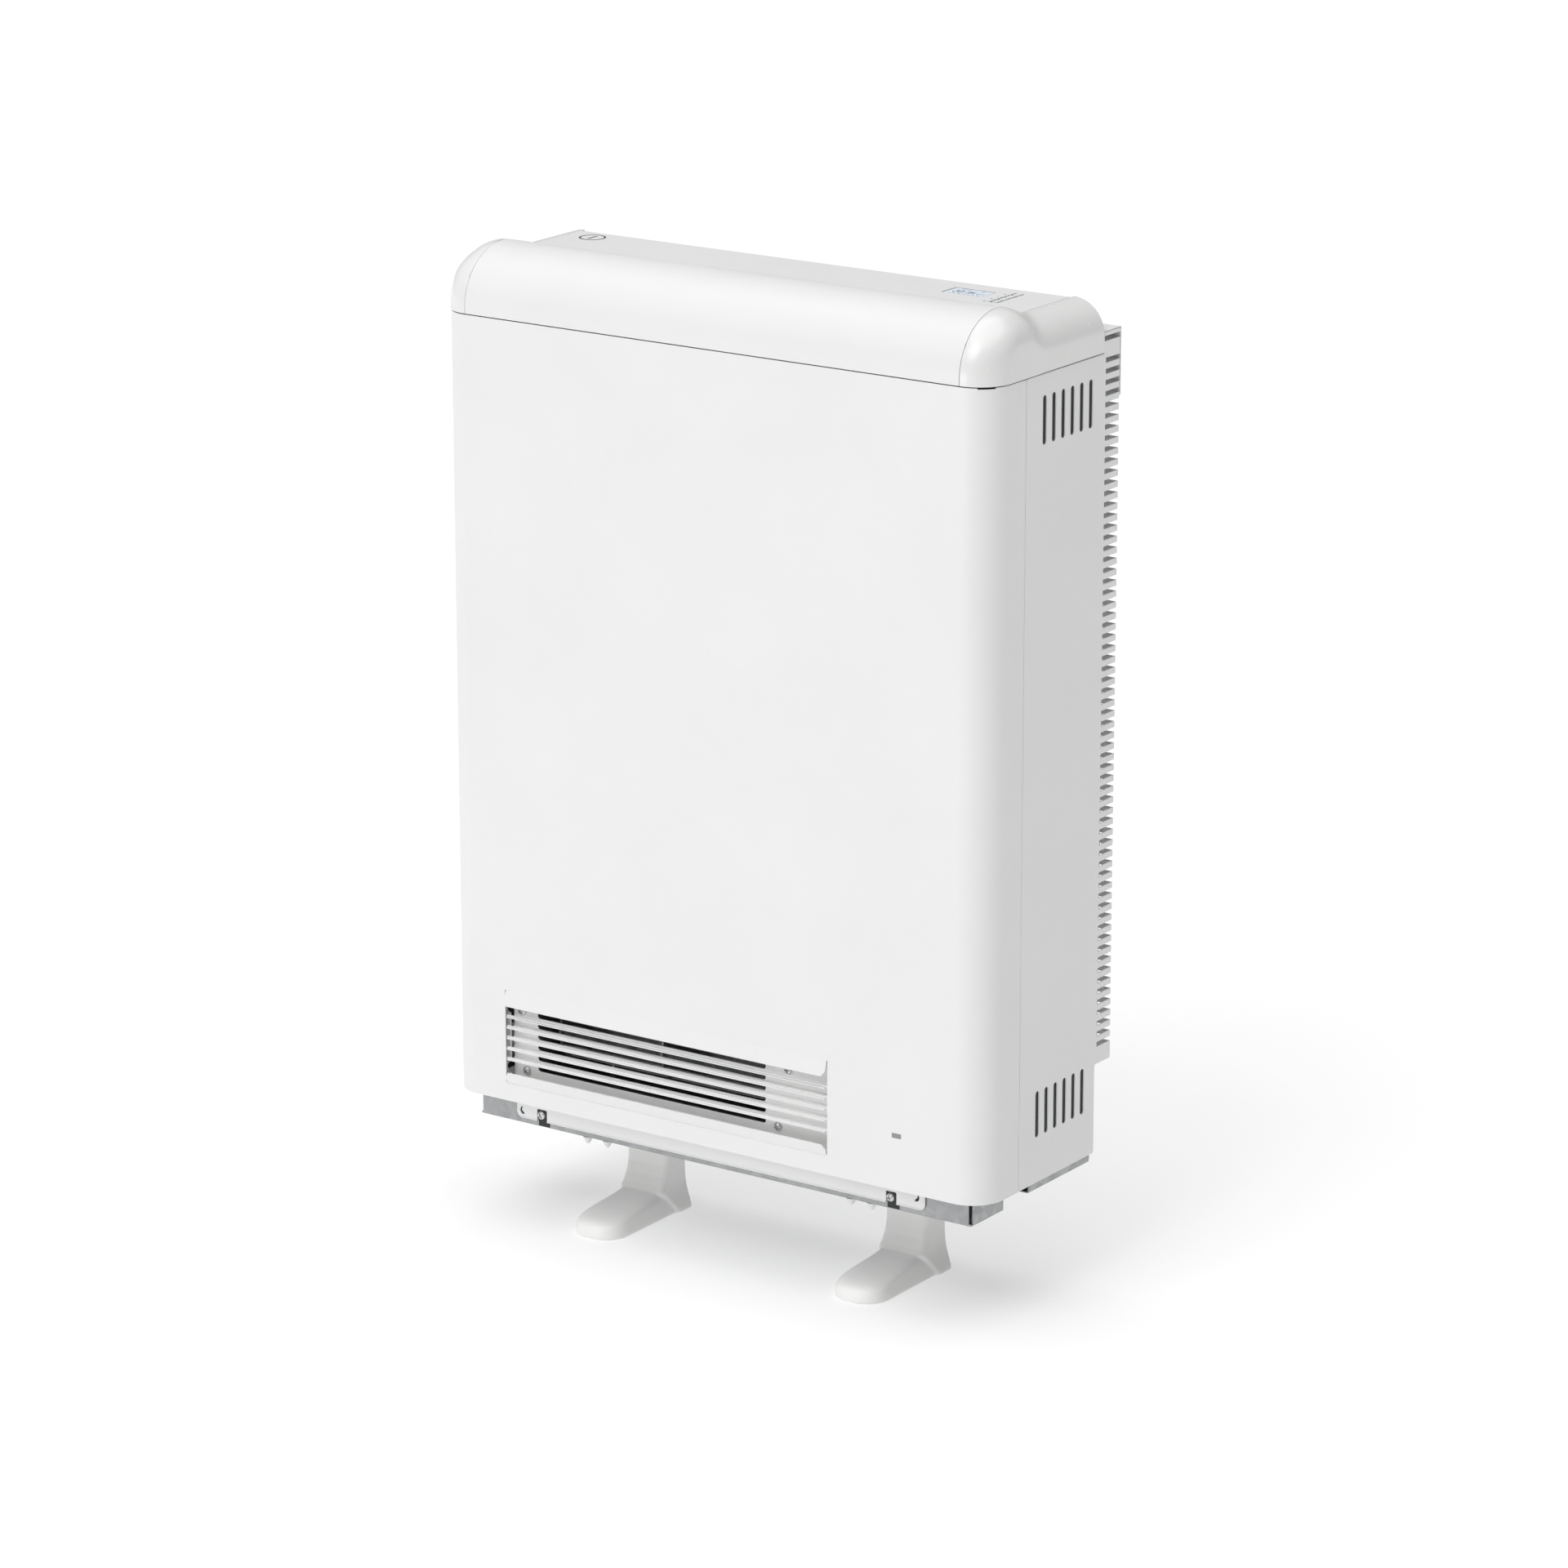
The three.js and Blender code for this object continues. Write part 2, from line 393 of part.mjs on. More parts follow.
// ---------------------------------------------------------------- heat store
{
  const { w, d, h, y0, z0, gap } = BRICK;
  const legs = [66, 110], er = 4, ch = 5;
  for (let r = 0; r < 4; r++) for (const side of [-1, 1]) {
    const zb = z0 + r * (h + gap);
    const xa = side < 0 ? -w - 1 : 1, xb = side < 0 ? -1 : w + 1;
    let m = B(xa, xb, y0, y0 + d, zb, zb + h);
    for (const y of legs) {
      if (r < 3) m = m.subtract(B(xa - 1, xb + 1, y - ch, y + ch, zb + h - ch, zb + h + 1));
      if (r > 0) m = m.subtract(B(xa - 1, xb + 1, y - ch, y + ch, zb - 1, zb + ch));
    }
    if (side < 0) {
      if (r < 3) m = m.subtract(B(xa - 1, xa + 34, 61, 115, zb + h - ch, zb + h + 1));
      if (r > 0) m = m.subtract(B(xa - 1, xa + 34, 61, 115, zb - 1, zb + ch));
    }
    // vertical warm-air channel through the brick
    const cx = (xa + xb) / 2;
    m = m.subtract(B(cx - 50, cx + 50, 80, 96, zb - 1, zb + h + 1));
    place(`core_brick_${r + 1}_${side < 0 ? 'left' : 'right'}`, surface(m), 'brick');
  }
  for (let k = 0; k < 3; k++) {
    const z = z0 + (k + 1) * (h + gap) - gap / 2;
    const rr = 22, cx = -w + 26;
    const path = new THREE.CurvePath();
    path.add(new THREE.LineCurve3(new THREE.Vector3(238, legs[0], z), new THREE.Vector3(cx, legs[0], z)));
    const mid = [];
    for (let i = 0; i <= 12; i++) {
      const a = -Math.PI / 2 - Math.PI * i / 12;
      mid.push(new THREE.Vector3(cx + rr * Math.cos(a), 88 + rr * Math.sin(a), z));
    }
    path.add(new THREE.CatmullRomCurve3(mid));
    path.add(new THREE.LineCurve3(new THREE.Vector3(cx, legs[1], z), new THREE.Vector3(238, legs[1], z)));
    const circle = new THREE.Shape();
    for (let i = 0; i < 6; i++) {
      const a = i / 6 * Math.PI * 2;
      i ? circle.lineTo(er * Math.cos(a), er * Math.sin(a)) : circle.moveTo(er, 0);
    }
    circle.closePath();
    const g = new THREE.ExtrudeGeometry(circle, { steps: 36, bevelEnabled: false, extrudePath: path, curveSegments: 1 });
    place(`heating_element_${k + 1}`, surface(solid(g)), 'element');
  }
}
{
  place('insulation_front', block(-226, 226, 22, 42, 146, 640), 'wool');
  place('insulation_back', block(-226, 226, 134, 157, 146, 640), 'wool');
  place('insulation_left', block(-226, -202, 43, 133, 146, 640), 'wool');
  let m = B(202, 226, 43, 133, 146, 640);
  for (let k = 0; k < 3; k++) for (const y of [66, 110]) {
    const z = BRICK.z0 + (k + 1) * (BRICK.h + BRICK.gap) - BRICK.gap / 2;
    m = m.subtract(B(200, 228, y - 5, y + 5, z - 5, z + 5));
  }
  place('insulation_right', surface(m), 'wool');
  place('insulation_top', block(-226, 226, 22, 157, 641, 668), 'wool');
  place('insulation_bottom', block(-226, 226, 22, 157, 125, 145), 'wool');
}

// ---------------------------------------------------------------- back panel with side wings
{
  let m = B(-264.6, 264.6, 160.2, 161.2, 18, 686);
  for (const s of [-1, 1]) {
    const x = (a, b) => (s > 0 ? [a, b] : [-b, -a]);
    m = m.add(B(...x(263.4, 264.6), 70, 161.2, 18, 52));
    m = m.add(B(...x(250, 264.6), 70, 161.2, 18, 19.2));
    m = m.add(B(...x(250, 251.2), 70, 161.2, 18, 24));
  }
  place('back_panel', surface(m), 'galv');
}

// ---------------------------------------------------------------- wall rail across the back
{
  let m = B(-HALF_W, HALF_W, COMB_BACK + 0.4, RAIL_BACK, 649.5, 705);
  m = m.add(B(-HALF_W, HALF_W, 166, RAIL_BACK, 703.8, 705));
  m = m.add(B(HALF_W - SHEET, HALF_W, 166, RAIL_BACK, 700.7, 705)).add(B(-HALF_W, -HALF_W + SHEET, 166, RAIL_BACK, 700.7, 705));
  for (const x of [-180, 0, 180]) {   // keyholes for the wall screws
    m = m.subtract(B(x - 2.6, x + 2.6, 180, 195, 672, 690));
    m = m.subtract(solid(turnedY([[0, -6], [5.4, -6], [5.4, 6], [0, 6]], x, RAIL_BACK - 1, 672, 12)));
  }
  place('wall_rail', surface(m), 'white');
}

// ---------------------------------------------------------------- feet
// closed body through level outlines [z, [[x, y], ...]] that have the same number of points, lowest first
function loft(levels) {
  const pos = [], n = levels[0][1].length;
  const at = (k, i) => [levels[k][1][i % n][0], levels[k][1][i % n][1], levels[k][0]];
  for (let k = 0; k < levels.length - 1; k++) for (let i = 0; i < n; i++) {
    pos.push(...at(k, i), ...at(k, i + 1), ...at(k + 1, i + 1));
    pos.push(...at(k, i), ...at(k + 1, i + 1), ...at(k + 1, i));
  }
  const top = levels.length - 1;
  for (let i = 1; i < n - 1; i++) {
    pos.push(...at(0, 0), ...at(0, i + 1), ...at(0, i));
    pos.push(...at(top, 0), ...at(top, i), ...at(top, i + 1));
  }
  const g = new THREE.BufferGeometry();
  g.setAttribute('position', new THREE.BufferAttribute(new Float32Array(pos), 3));
  return g;
}
// level outline: half width w, from y = f to y = b, corner radii rf in front (deep df) and rb behind
function bootOutline(w, f, b, rf, df, rb) {
  const p = [], q = (i, n) => i / n * Math.PI / 2;
  for (let i = 0; i <= 6; i++) p.push([-w + rf - rf * Math.cos(q(i, 6)), f + df - df * Math.sin(q(i, 6))]);
  for (let i = 6; i >= 0; i--) p.push([w - rf + rf * Math.cos(q(i, 6)), f + df - df * Math.sin(q(i, 6))]);
  for (let i = 0; i <= 2; i++) p.push([w - rb + rb * Math.cos(q(i, 2)), b - rb + rb * Math.sin(q(i, 2))]);
  for (let i = 2; i >= 0; i--) p.push([-w + rb - rb * Math.cos(q(i, 2)), b - rb + rb * Math.sin(q(i, 2))]);
  return p;
}
{
  const toe = solid(loft([[-87, 23.4, 12, 20, 20], [-85.5, 24, 11.6, 20.5, 20.5], [-82, 23.8, 11.8, 20, 20], [-78, 23.2, 12.8, 19.5, 19],
    [-75.5, 22.7, 15, 18.5, 20], [-73.6, 22.2, 19, 17, 24], [-72.3, 21.8, 25, 14, 30], [-71, 21.3, 36, 10, 38], [-69.9, 20.8, 50, 9, 36],
    [-68.6, 20.4, 64, 8, 30], [-67.2, 20, 77, 7, 22], [-65.8, 19.4, 84, 6, 16]].map(([z, w, f, rf, df]) => [z, bootOutline(w, f, 104, rf, df, 2)])));
  const neck = solid(loft([[-87, 25.8, 102.6, 122.6], [-85.8, 26.6, 101.4, 123.2], [-80, 25.6, 96.3, 122.8], [-73, 24, 90, 121.8], [-66, 22.6, 83.8, 121.1],
    [-61.5, 22.1, 87.6, 120.9], [-54, 21.7, 91.4, 120.7], [-45, 21.5, 93.5, 120.5], [-36, 21.5, 94, 120.4], [-0.4, 21.5, 94, 120.4]]
    .map(([z, w, f, b]) => [z, bootOutline(w, f, b, 6, 6, 1.6)])));
  const m = toe.add(neck);
  place('foot_left', surface(m.translate([-FOOT_X, 0, 0])), 'foot');
  place('foot_right', surface(m.translate([FOOT_X, 0, 0])), 'foot');
  [[-137, 20], [-117, 20], [127, 20], [147, 20]].forEach(([x, y], i) => {
    const g = new THREE.LatheGeometry([[0, -6.2], [1.6, -5.6], [4.4, -0.3], [1.6, -0.2], [1.6, 3], [0, 3.6]]
      .map(p => new THREE.Vector2(p[0], p[1])), 12);
    g.rotateX(Math.PI / 2);
    g.translate(x, y, 0);
    place(`tray_rivet_${i + 1}`, surface(solid(g)), 'foot');
  });
}

// ---------------------------------------------------------------- controls
{
  let m = B(137, 209, 103, 151, 715, 726.6);
  m = m.subtract(B(LCD.x0 - 0.2, LCD.x1 + 0.2, LCD.y0 - 0.2, LCD.y1 + 0.2, 724.6, 730));
  place('display_module', surface(m), 'black');
  place('lcd_window', block(LCD.x0 + 0.3, LCD.x1 - 0.3, LCD.y0 + 0.3, LCD.y1 - 0.3, 725, 729.6), 'lcd');
  let k = 0;
  for (let j = 0; j < KEY.rows; j++) for (let i = 0; i < KEY.cols; i++) {
    const x = KEY.x0 + i * KEY.px + 0.3, y = KEY.y0 + j * KEY.py + 0.3;
    place(`key_${++k}`, block(x, x + KEY.w, y, y + KEY.d, 727.3, 730.6), 'key');
  }
}

// ---------------------------------------------------------------- electrics in the right-hand cavity
{
  let m = B(230, 232, 48, 150, 150, 262).add(B(231, 248, 60, 92, 170, 196)).add(B(231, 244, 100, 124, 172, 190))
    .add(B(231, 240, 60, 80, 212, 240)).add(B(231, 252, 96, 136, 206, 238));
  place('control_board', surface(m), 'board');
  m = B(230, 250, 56, 126, 290, 312);
  for (let i = 0; i < 5; i++) m = m.subtract(B(240, 251, 60 + i * 13, 68 + i * 13, 296, 306));
  place('terminal_block', surface(m), 'terminal');
  m = solid(rod(9, 230, 238, 88, 600, 16)).add(B(227.5, 231, 72, 104, 594, 606)).add(B(236, 244, 83, 85, 597, 603)).add(B(236, 244, 91, 93, 597, 603));
  place('thermal_cutout', surface(m), 'black');
  // closed membrane gland in the tray floor, pierced only when a lead is fitted
  const gl = new THREE.LatheGeometry([[0, -10.6], [4.2, -10.6], [4.6, -12], [7.4, -12], [9, -8], [11.5, -6.5], [11.5, -0.4],
    [7.9, -0.4], [7.9, 9], [0, 9]].map(p => new THREE.Vector2(p[0], p[1])), 16);
  gl.rotateX(Math.PI / 2);
  gl.translate(GLAND[0], GLAND[1], 0);
  place('cable_gland', surface(solid(gl)), 'black');
}

export default root;
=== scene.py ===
import math

import bmesh
import bpy
import numpy as np
from mathutils import Matrix, Vector
from mathutils.geometry import delaunay_2d_cdt


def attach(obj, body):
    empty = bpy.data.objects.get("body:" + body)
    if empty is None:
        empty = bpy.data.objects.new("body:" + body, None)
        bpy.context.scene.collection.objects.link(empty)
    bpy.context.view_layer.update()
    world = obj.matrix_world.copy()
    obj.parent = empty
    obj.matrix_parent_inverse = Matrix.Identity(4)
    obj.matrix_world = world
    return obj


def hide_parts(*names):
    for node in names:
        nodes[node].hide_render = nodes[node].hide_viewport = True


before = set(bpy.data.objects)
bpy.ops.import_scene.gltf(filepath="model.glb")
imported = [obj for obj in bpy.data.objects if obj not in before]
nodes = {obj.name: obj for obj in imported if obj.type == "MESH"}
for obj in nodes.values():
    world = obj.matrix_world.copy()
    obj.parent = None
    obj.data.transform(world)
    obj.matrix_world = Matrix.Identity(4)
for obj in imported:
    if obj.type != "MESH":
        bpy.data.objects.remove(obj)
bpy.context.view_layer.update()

PI = math.pi

# Heater coordinates in mm, as in the solid model: y = 0 is the face of the front panel,
# z = 0 the underside of the tray. P() takes them to the shared frame in metres.
HALF_W, CAP_HALF_W, SEAM_X = 266.15, 267.0, 238.0
PANEL_BOTTOM, PANEL_TOP, COVER_BOTTOM = 23.2, 686.9, 687.7
TOP_FLAT, CREST_Y, VALLEY_Y = 730.0, 53.0, 95.0
OUT_X0, OUT_X1, OUT_Z0, OUT_Z1 = -206.6, 116.5, 39.9, 120.0
HOOD_X0, HOOD_X1 = -205.9, 115.9
BAR_PITCH, BAR_TOP_Z = 9.28, 95.3
SLOT_TOP_Z, SLOT_X0, SLOT_X1 = 96.65, -181.6, 48.6
PLATE_Y = 11.5
FOOT_X = 131.0
LCD = (143.0, 181.0, 119.0, 141.5)
KEY_X0, KEY_Y0, KEY_PX, KEY_PY, KEY_W, KEY_D = 190.2, 107.6, 6.8, 10.0, 5.4, 8.4
FIX_SCREWS = [(-181.3, 10.6), (168.4, 10.2)]
PLATE_SCREWS = [(-197.2, 100.3), (-193.0, 48.8), (70.9, 100.4), (61.0, 50.2)]
NUBS = [(-137, 20), (-117, 20), (127, 20), (147, 20)]


def P(x, y, z):
    return (x / 1000.0, (y - 93.5) / 1000.0, (z + 87.0) / 1000.0)


# ------------------------------------------------------------------ materials
def shader(name):
    m = bpy.data.materials.new(name)
    m.use_nodes = True
    nt = m.node_tree
    nt.nodes.clear()
    out = nt.nodes.new("ShaderNodeOutputMaterial")
    b = nt.nodes.new("ShaderNodeBsdfPrincipled")
    nt.links.new(b.outputs[0], out.inputs[0])
    tc = nt.nodes.new("ShaderNodeTexCoord")
    return m, nt, b, tc.outputs["Object"]


def scaled(nt, vec, sx, sy, sz):
    n = nt.nodes.new("ShaderNodeMapping")
    n.inputs["Scale"].default_value = (sx, sy, sz)
    nt.links.new(vec, n.inputs["Vector"])
    return n.outputs[0]


def noise(nt, vec, scale, detail=2.0, rough=0.5):
    n = nt.nodes.new("ShaderNodeTexNoise")
    n.inputs["Scale"].default_value = scale
    n.inputs["Detail"].default_value = detail
    n.inputs["Roughness"].default_value = rough
    nt.links.new(vec, n.inputs["Vector"])
    return n.outputs["Fac"]


def voronoi(nt, vec, scale, out="Distance", feature="F1"):
    n = nt.nodes.new("ShaderNodeTexVoronoi")
    n.feature = feature
    n.inputs["Scale"].default_value = scale
    nt.links.new(vec, n.inputs["Vector"])
    return n.outputs[out]


def span(nt, fac, a, b, lo=0.0, hi=1.0):
    n = nt.nodes.new("ShaderNodeMapRange")
    n.inputs["From Min"].default_value = lo
    n.inputs["From Max"].default_value = hi
    n.inputs["To Min"].default_value = a
    n.inputs["To Max"].default_value = b
    nt.links.new(fac, n.inputs["Value"])
    return n.outputs[0]


def ramp(nt, fac, stops):
    n = nt.nodes.new("ShaderNodeValToRGB")
    r = n.color_ramp
    while len(r.elements) < len(stops):
        r.elements.new(0.5)
    for e, (p, c) in zip(r.elements, stops):
        e.position = p
        e.color = (*c, 1.0)
    nt.links.new(fac, n.inputs["Fac"])
    return n.outputs["Color"]


def blend(nt, fac, a, b, kind="MIX"):
    n = nt.nodes.new("ShaderNodeMix")
    n.data_type = "RGBA"
    n.blend_type = kind
    for src, key in ((fac, 0), (a, 6), (b, 7)):
        if isinstance(src, (int, float)):
            n.inputs[key].default_value = src
        elif isinstance(src, tuple):
            n.inputs[key].default_value = (*src, 1.0)
        else:
            nt.links.new(src, n.inputs[key])
    return n.outputs[2]


def bumps(nt, b, layers):
    last = None
    for height, strength, dist in layers:
        n = nt.nodes.new("ShaderNodeBump")
        n.inputs["Strength"].default_value = strength
        n.inputs["Distance"].default_value = dist
        nt.links.new(height, n.inputs["Height"])
        if last is not None:
            nt.links.new(last, n.inputs["Normal"])
        last = n.outputs[0]
    nt.links.new(last, b.inputs["Normal"])


def painted(name, light, dark, rough, peel=0.05, coat=0.0):
    """Stoved enamel: two close tones in large soft clouds, a fine orange peel and a slightly uneven gloss."""
    m, nt, b, co = shader(name)
    big = noise(nt, co, 9.0, 3.0, 0.55)
    nt.links.new(ramp(nt, big, [(0.3, dark), (0.7, light)]), b.inputs["Base Color"])
    fine = noise(nt, co, 900.0, 2.0, 0.6)
    mid = noise(nt, co, 260.0, 2.0, 0.5)
    nt.links.new(span(nt, noise(nt, co, 40.0, 4.0, 0.6), rough - 0.05, rough + 0.06), b.inputs["Roughness"])
    b.inputs["Coat Weight"].default_value = coat
    b.inputs["Coat Roughness"].default_value = 0.12
    bumps(nt, b, [(mid, peel, 0.0004), (fine, peel * 0.8, 0.0002)])
    return m


def metal(name, tone, rough, spangle=0.0, brushed=0.0, metallic=1.0):
    m, nt, b, co = shader(name)
    b.inputs["Metallic"].default_value = 0.85 if spangle else metallic
    if spangle:
        cell = voronoi(nt, scaled(nt, co, 1.0, 1.0, 1.0), 150.0, "Color")
        cell_b = voronoi(nt, co, 60.0, "Color")
        sep = nt.nodes.new("ShaderNodeSeparateColor")
        nt.links.new(cell, sep.inputs[0])
        sep_b = nt.nodes.new("ShaderNodeSeparateColor")
        nt.links.new(cell_b, sep_b.inputs[0])
        dirt = noise(nt, co, 30.0, 5.0, 0.65)
        lo = tuple(c * (1.0 - spangle) for c in tone)
        base = ramp(nt, sep.outputs[0], [(0.0, lo), (1.0, tone)])
        base = blend(nt, span(nt, sep_b.outputs[1], 0.0, 0.28), base, tuple(c * 0.82 for c in tone))
        base = blend(nt, span(nt, dirt, 0.0, 0.25, 0.45, 0.8), base, tuple(c * 0.7 for c in tone))
        nt.links.new(base, b.inputs["Base Color"])
        nt.links.new(span(nt, sep.outputs[1], rough - 0.08, rough + 0.12), b.inputs["Roughness"])
        bumps(nt, b, [(sep.outputs[2], 0.02, 0.0002), (noise(nt, co, 1500.0, 2.0), 0.05, 0.0001)])
    else:
        streak = noise(nt, scaled(nt, co, 1.0, 1.0, 14.0), 700.0, 3.0, 0.6)
        nt.links.new(ramp(nt, streak, [(0.25, tuple(c * 0.82 for c in tone)), (0.75, tone)]), b.inputs["Base Color"])
        nt.links.new(span(nt, noise(nt, co, 300.0, 3.0), rough - 0.06, rough + 0.1), b.inputs["Roughness"])
        bumps(nt, b, [(streak, brushed, 0.0001)])
    return m


def moulded(name, light, dark, rough, grain=0.12, scale=1400.0, coat=0.0, cloud=22.0):
    m, nt, b, co = shader(name)
    nt.links.new(ramp(nt, noise(nt, co, cloud, 4.0, 0.6), [(0.3, dark), (0.72, light)]), b.inputs["Base Color"])
    g = voronoi(nt, co, scale, "Distance")
    nt.links.new(span(nt, noise(nt, co, 90.0, 3.0), rough - 0.05, rough + 0.07), b.inputs["Roughness"])
    b.inputs["Coat Weight"].default_value = coat
    b.inputs["Coat Roughness"].default_value = 0.1
    bumps(nt, b, [(noise(nt, co, 180.0, 2.0), grain * 0.4, 0.0004), (g, grain, 0.00015)])
    return m


def gritty(name, stops, rough, scale, depth):
    m, nt, b, co = shader(name)
    a = noise(nt, co, scale, 6.0, 0.7)
    c = noise(nt, co, scale * 0.12, 3.0, 0.5)
    base = blend(nt, 0.35, ramp(nt, a, stops), ramp(nt, c, stops))
    nt.links.new(base, b.inputs["Base Color"])
    nt.links.new(span(nt, a, rough - 0.08, min(1.0, rough + 0.05)), b.inputs["Roughness"])
    bumps(nt, b, [(a, 0.5, depth), (voronoi(nt, co, scale * 1.7, "Distance"), 0.3, depth * 0.5)])
    return m


def fibrous(name, stops):
    m, nt, b, co = shader(name)
    a = noise(nt, scaled(nt, co, 1.0, 5.0, 1.0), 420.0, 5.0, 0.7)
    c = noise(nt, scaled(nt, co, 6.0, 1.0, 1.0), 160.0, 4.0, 0.6)
    nt.links.new(blend(nt, 0.4, ramp(nt, a, stops), ramp(nt, c, stops)), b.inputs["Base Color"])
    b.inputs["Roughness"].default_value = 0.95
    b.inputs["Sheen Weight"].default_value = 0.2
    bumps(nt, b, [(a, 0.6, 0.0006), (c, 0.4, 0.001)])
    return m


def board(name):
    m, nt, b, co = shader(name)
    br = nt.nodes.new("ShaderNodeTexBrick")
    nt.links.new(scaled(nt, co, 60.0, 60.0, 60.0), br.inputs["Vector"])
    br.inputs["Color1"].default_value = (0.02, 0.14, 0.06, 1)
    br.inputs["Color2"].default_value = (0.025, 0.18, 0.08, 1)
    br.inputs["Mortar"].default_value = (0.06, 0.32, 0.14, 1)
    br.inputs["Mortar Size"].default_value = 0.03
    nt.links.new(blend(nt, span(nt, noise(nt, co, 300.0), 0.0, 0.3), br.outputs["Color"], (0.03, 0.2, 0.09)), b.inputs["Base Color"])
    nt.links.new(span(nt, noise(nt, co, 500.0), 0.3, 0.5), b.inputs["Roughness"])
    bumps(nt, b, [(br.outputs["Fac"], 0.3, 0.0002)])
    return m


def glass_face(name):
    """Lit display glass: a pale blue panel in soft clouds, under a faint pixel checker."""
    m, nt, b, co = shader(name)
    cl = noise(nt, co, 60.0, 2.0, 0.5)
    col = ramp(nt, cl, [(0.3, (0.74, 0.83, 0.94)), (0.7, (0.86, 0.92, 0.99))])
    grid = nt.nodes.new("ShaderNodeTexChecker")
    grid.inputs["Scale"].default_value = 1.0
    nt.links.new(scaled(nt, co, 3300.0, 3300.0, 3300.0), grid.inputs["Vector"])
    grid.inputs["Color1"].default_value = (1, 1, 1, 1)
    grid.inputs["Color2"].default_value = (0.93, 0.93, 0.93, 1)
    nt.links.new(blend(nt, 1.0, col, grid.outputs["Color"], "MULTIPLY"), b.inputs["Base Color"])
    nt.links.new(col, b.inputs["Emission Color"])
    b.inputs["Emission Strength"].default_value = 0.12
    nt.links.new(span(nt, noise(nt, co, 200.0), 0.08, 0.14), b.inputs["Roughness"])
    bumps(nt, b, [(noise(nt, co, 900.0), 0.02, 0.0001)])
    return m


M = {
    "white_enamel": painted("enamel_white", (0.835, 0.838, 0.835), (0.815, 0.818, 0.815), 0.36),
    # the outlet plate's white enamel, painted lighter than the same enamel on the panels: painted light that offsets
    # the shade in the outlet recess
    "plate_enamel_painted_light": painted("enamel_plate_painted_light", (0.93, 0.93, 0.925), (0.91, 0.91, 0.905), 0.45, 0.06),
    "cap_moulding": moulded("cap_gloss", (0.83, 0.832, 0.826), (0.81, 0.812, 0.806), 0.24, 0.03, 1600.0, 0.25),
    "galvanised": metal("galvanised_sheet", (0.43, 0.437, 0.445), 0.42, 0.2),
    "screw_steel": metal("screw_zinc", (0.74, 0.74, 0.74), 0.26, 0.0, 0.06, 0.8),
    "foot_moulding": moulded("foot_plastic", (0.925, 0.922, 0.912), (0.905, 0.902, 0.892), 0.42, 0.1, 1300.0),
    "nub_moulding": moulded("nub_nylon", (0.8, 0.8, 0.79), (0.72, 0.72, 0.71), 0.35, 0.08, 1500.0, 0.1),
    "black_moulding": moulded("black_plastic", (0.022, 0.022, 0.024), (0.012, 0.012, 0.013), 0.5, 0.25, 1200.0),
    "storage_brick": gritty("brick_magnetite", [(0.25, (0.03, 0.022, 0.018)), (0.55, (0.07, 0.05, 0.042)), (0.8, (0.16, 0.12, 0.10))], 0.9, 320.0, 0.0009),
    "insulation_board": fibrous("insulation_fibre", [(0.25, (0.42, 0.39, 0.33)), (0.75, (0.68, 0.65, 0.58))]),
    "element_sheath": metal("element_sheath", (0.30, 0.27, 0.25), 0.42, 0.0, 0.2),
    "circuit_board": board("circuit_laminate"),
    "display_glass": glass_face("display_face"),
    "key_moulding": moulded("key_grey", (0.80, 0.805, 0.81), (0.77, 0.775, 0.78), 0.42, 0.06, 1800.0),
    "terminal_ceramic": moulded("terminal_steatite", (0.72, 0.69, 0.60), (0.62, 0.59, 0.51), 0.4, 0.1, 900.0),
    "print_grey": moulded("print_ink_grey", (0.30, 0.30, 0.32), (0.25, 0.25, 0.27), 0.5, 0.05, 2500.0),
    "digit": moulded("display_ink", (0.03, 0.04, 0.08), (0.02, 0.03, 0.06), 0.4, 0.03, 2500.0),
    "print_dark": moulded("print_ink_dark", (0.035, 0.035, 0.04), (0.025, 0.025, 0.03), 0.5, 0.05, 2500.0),
}


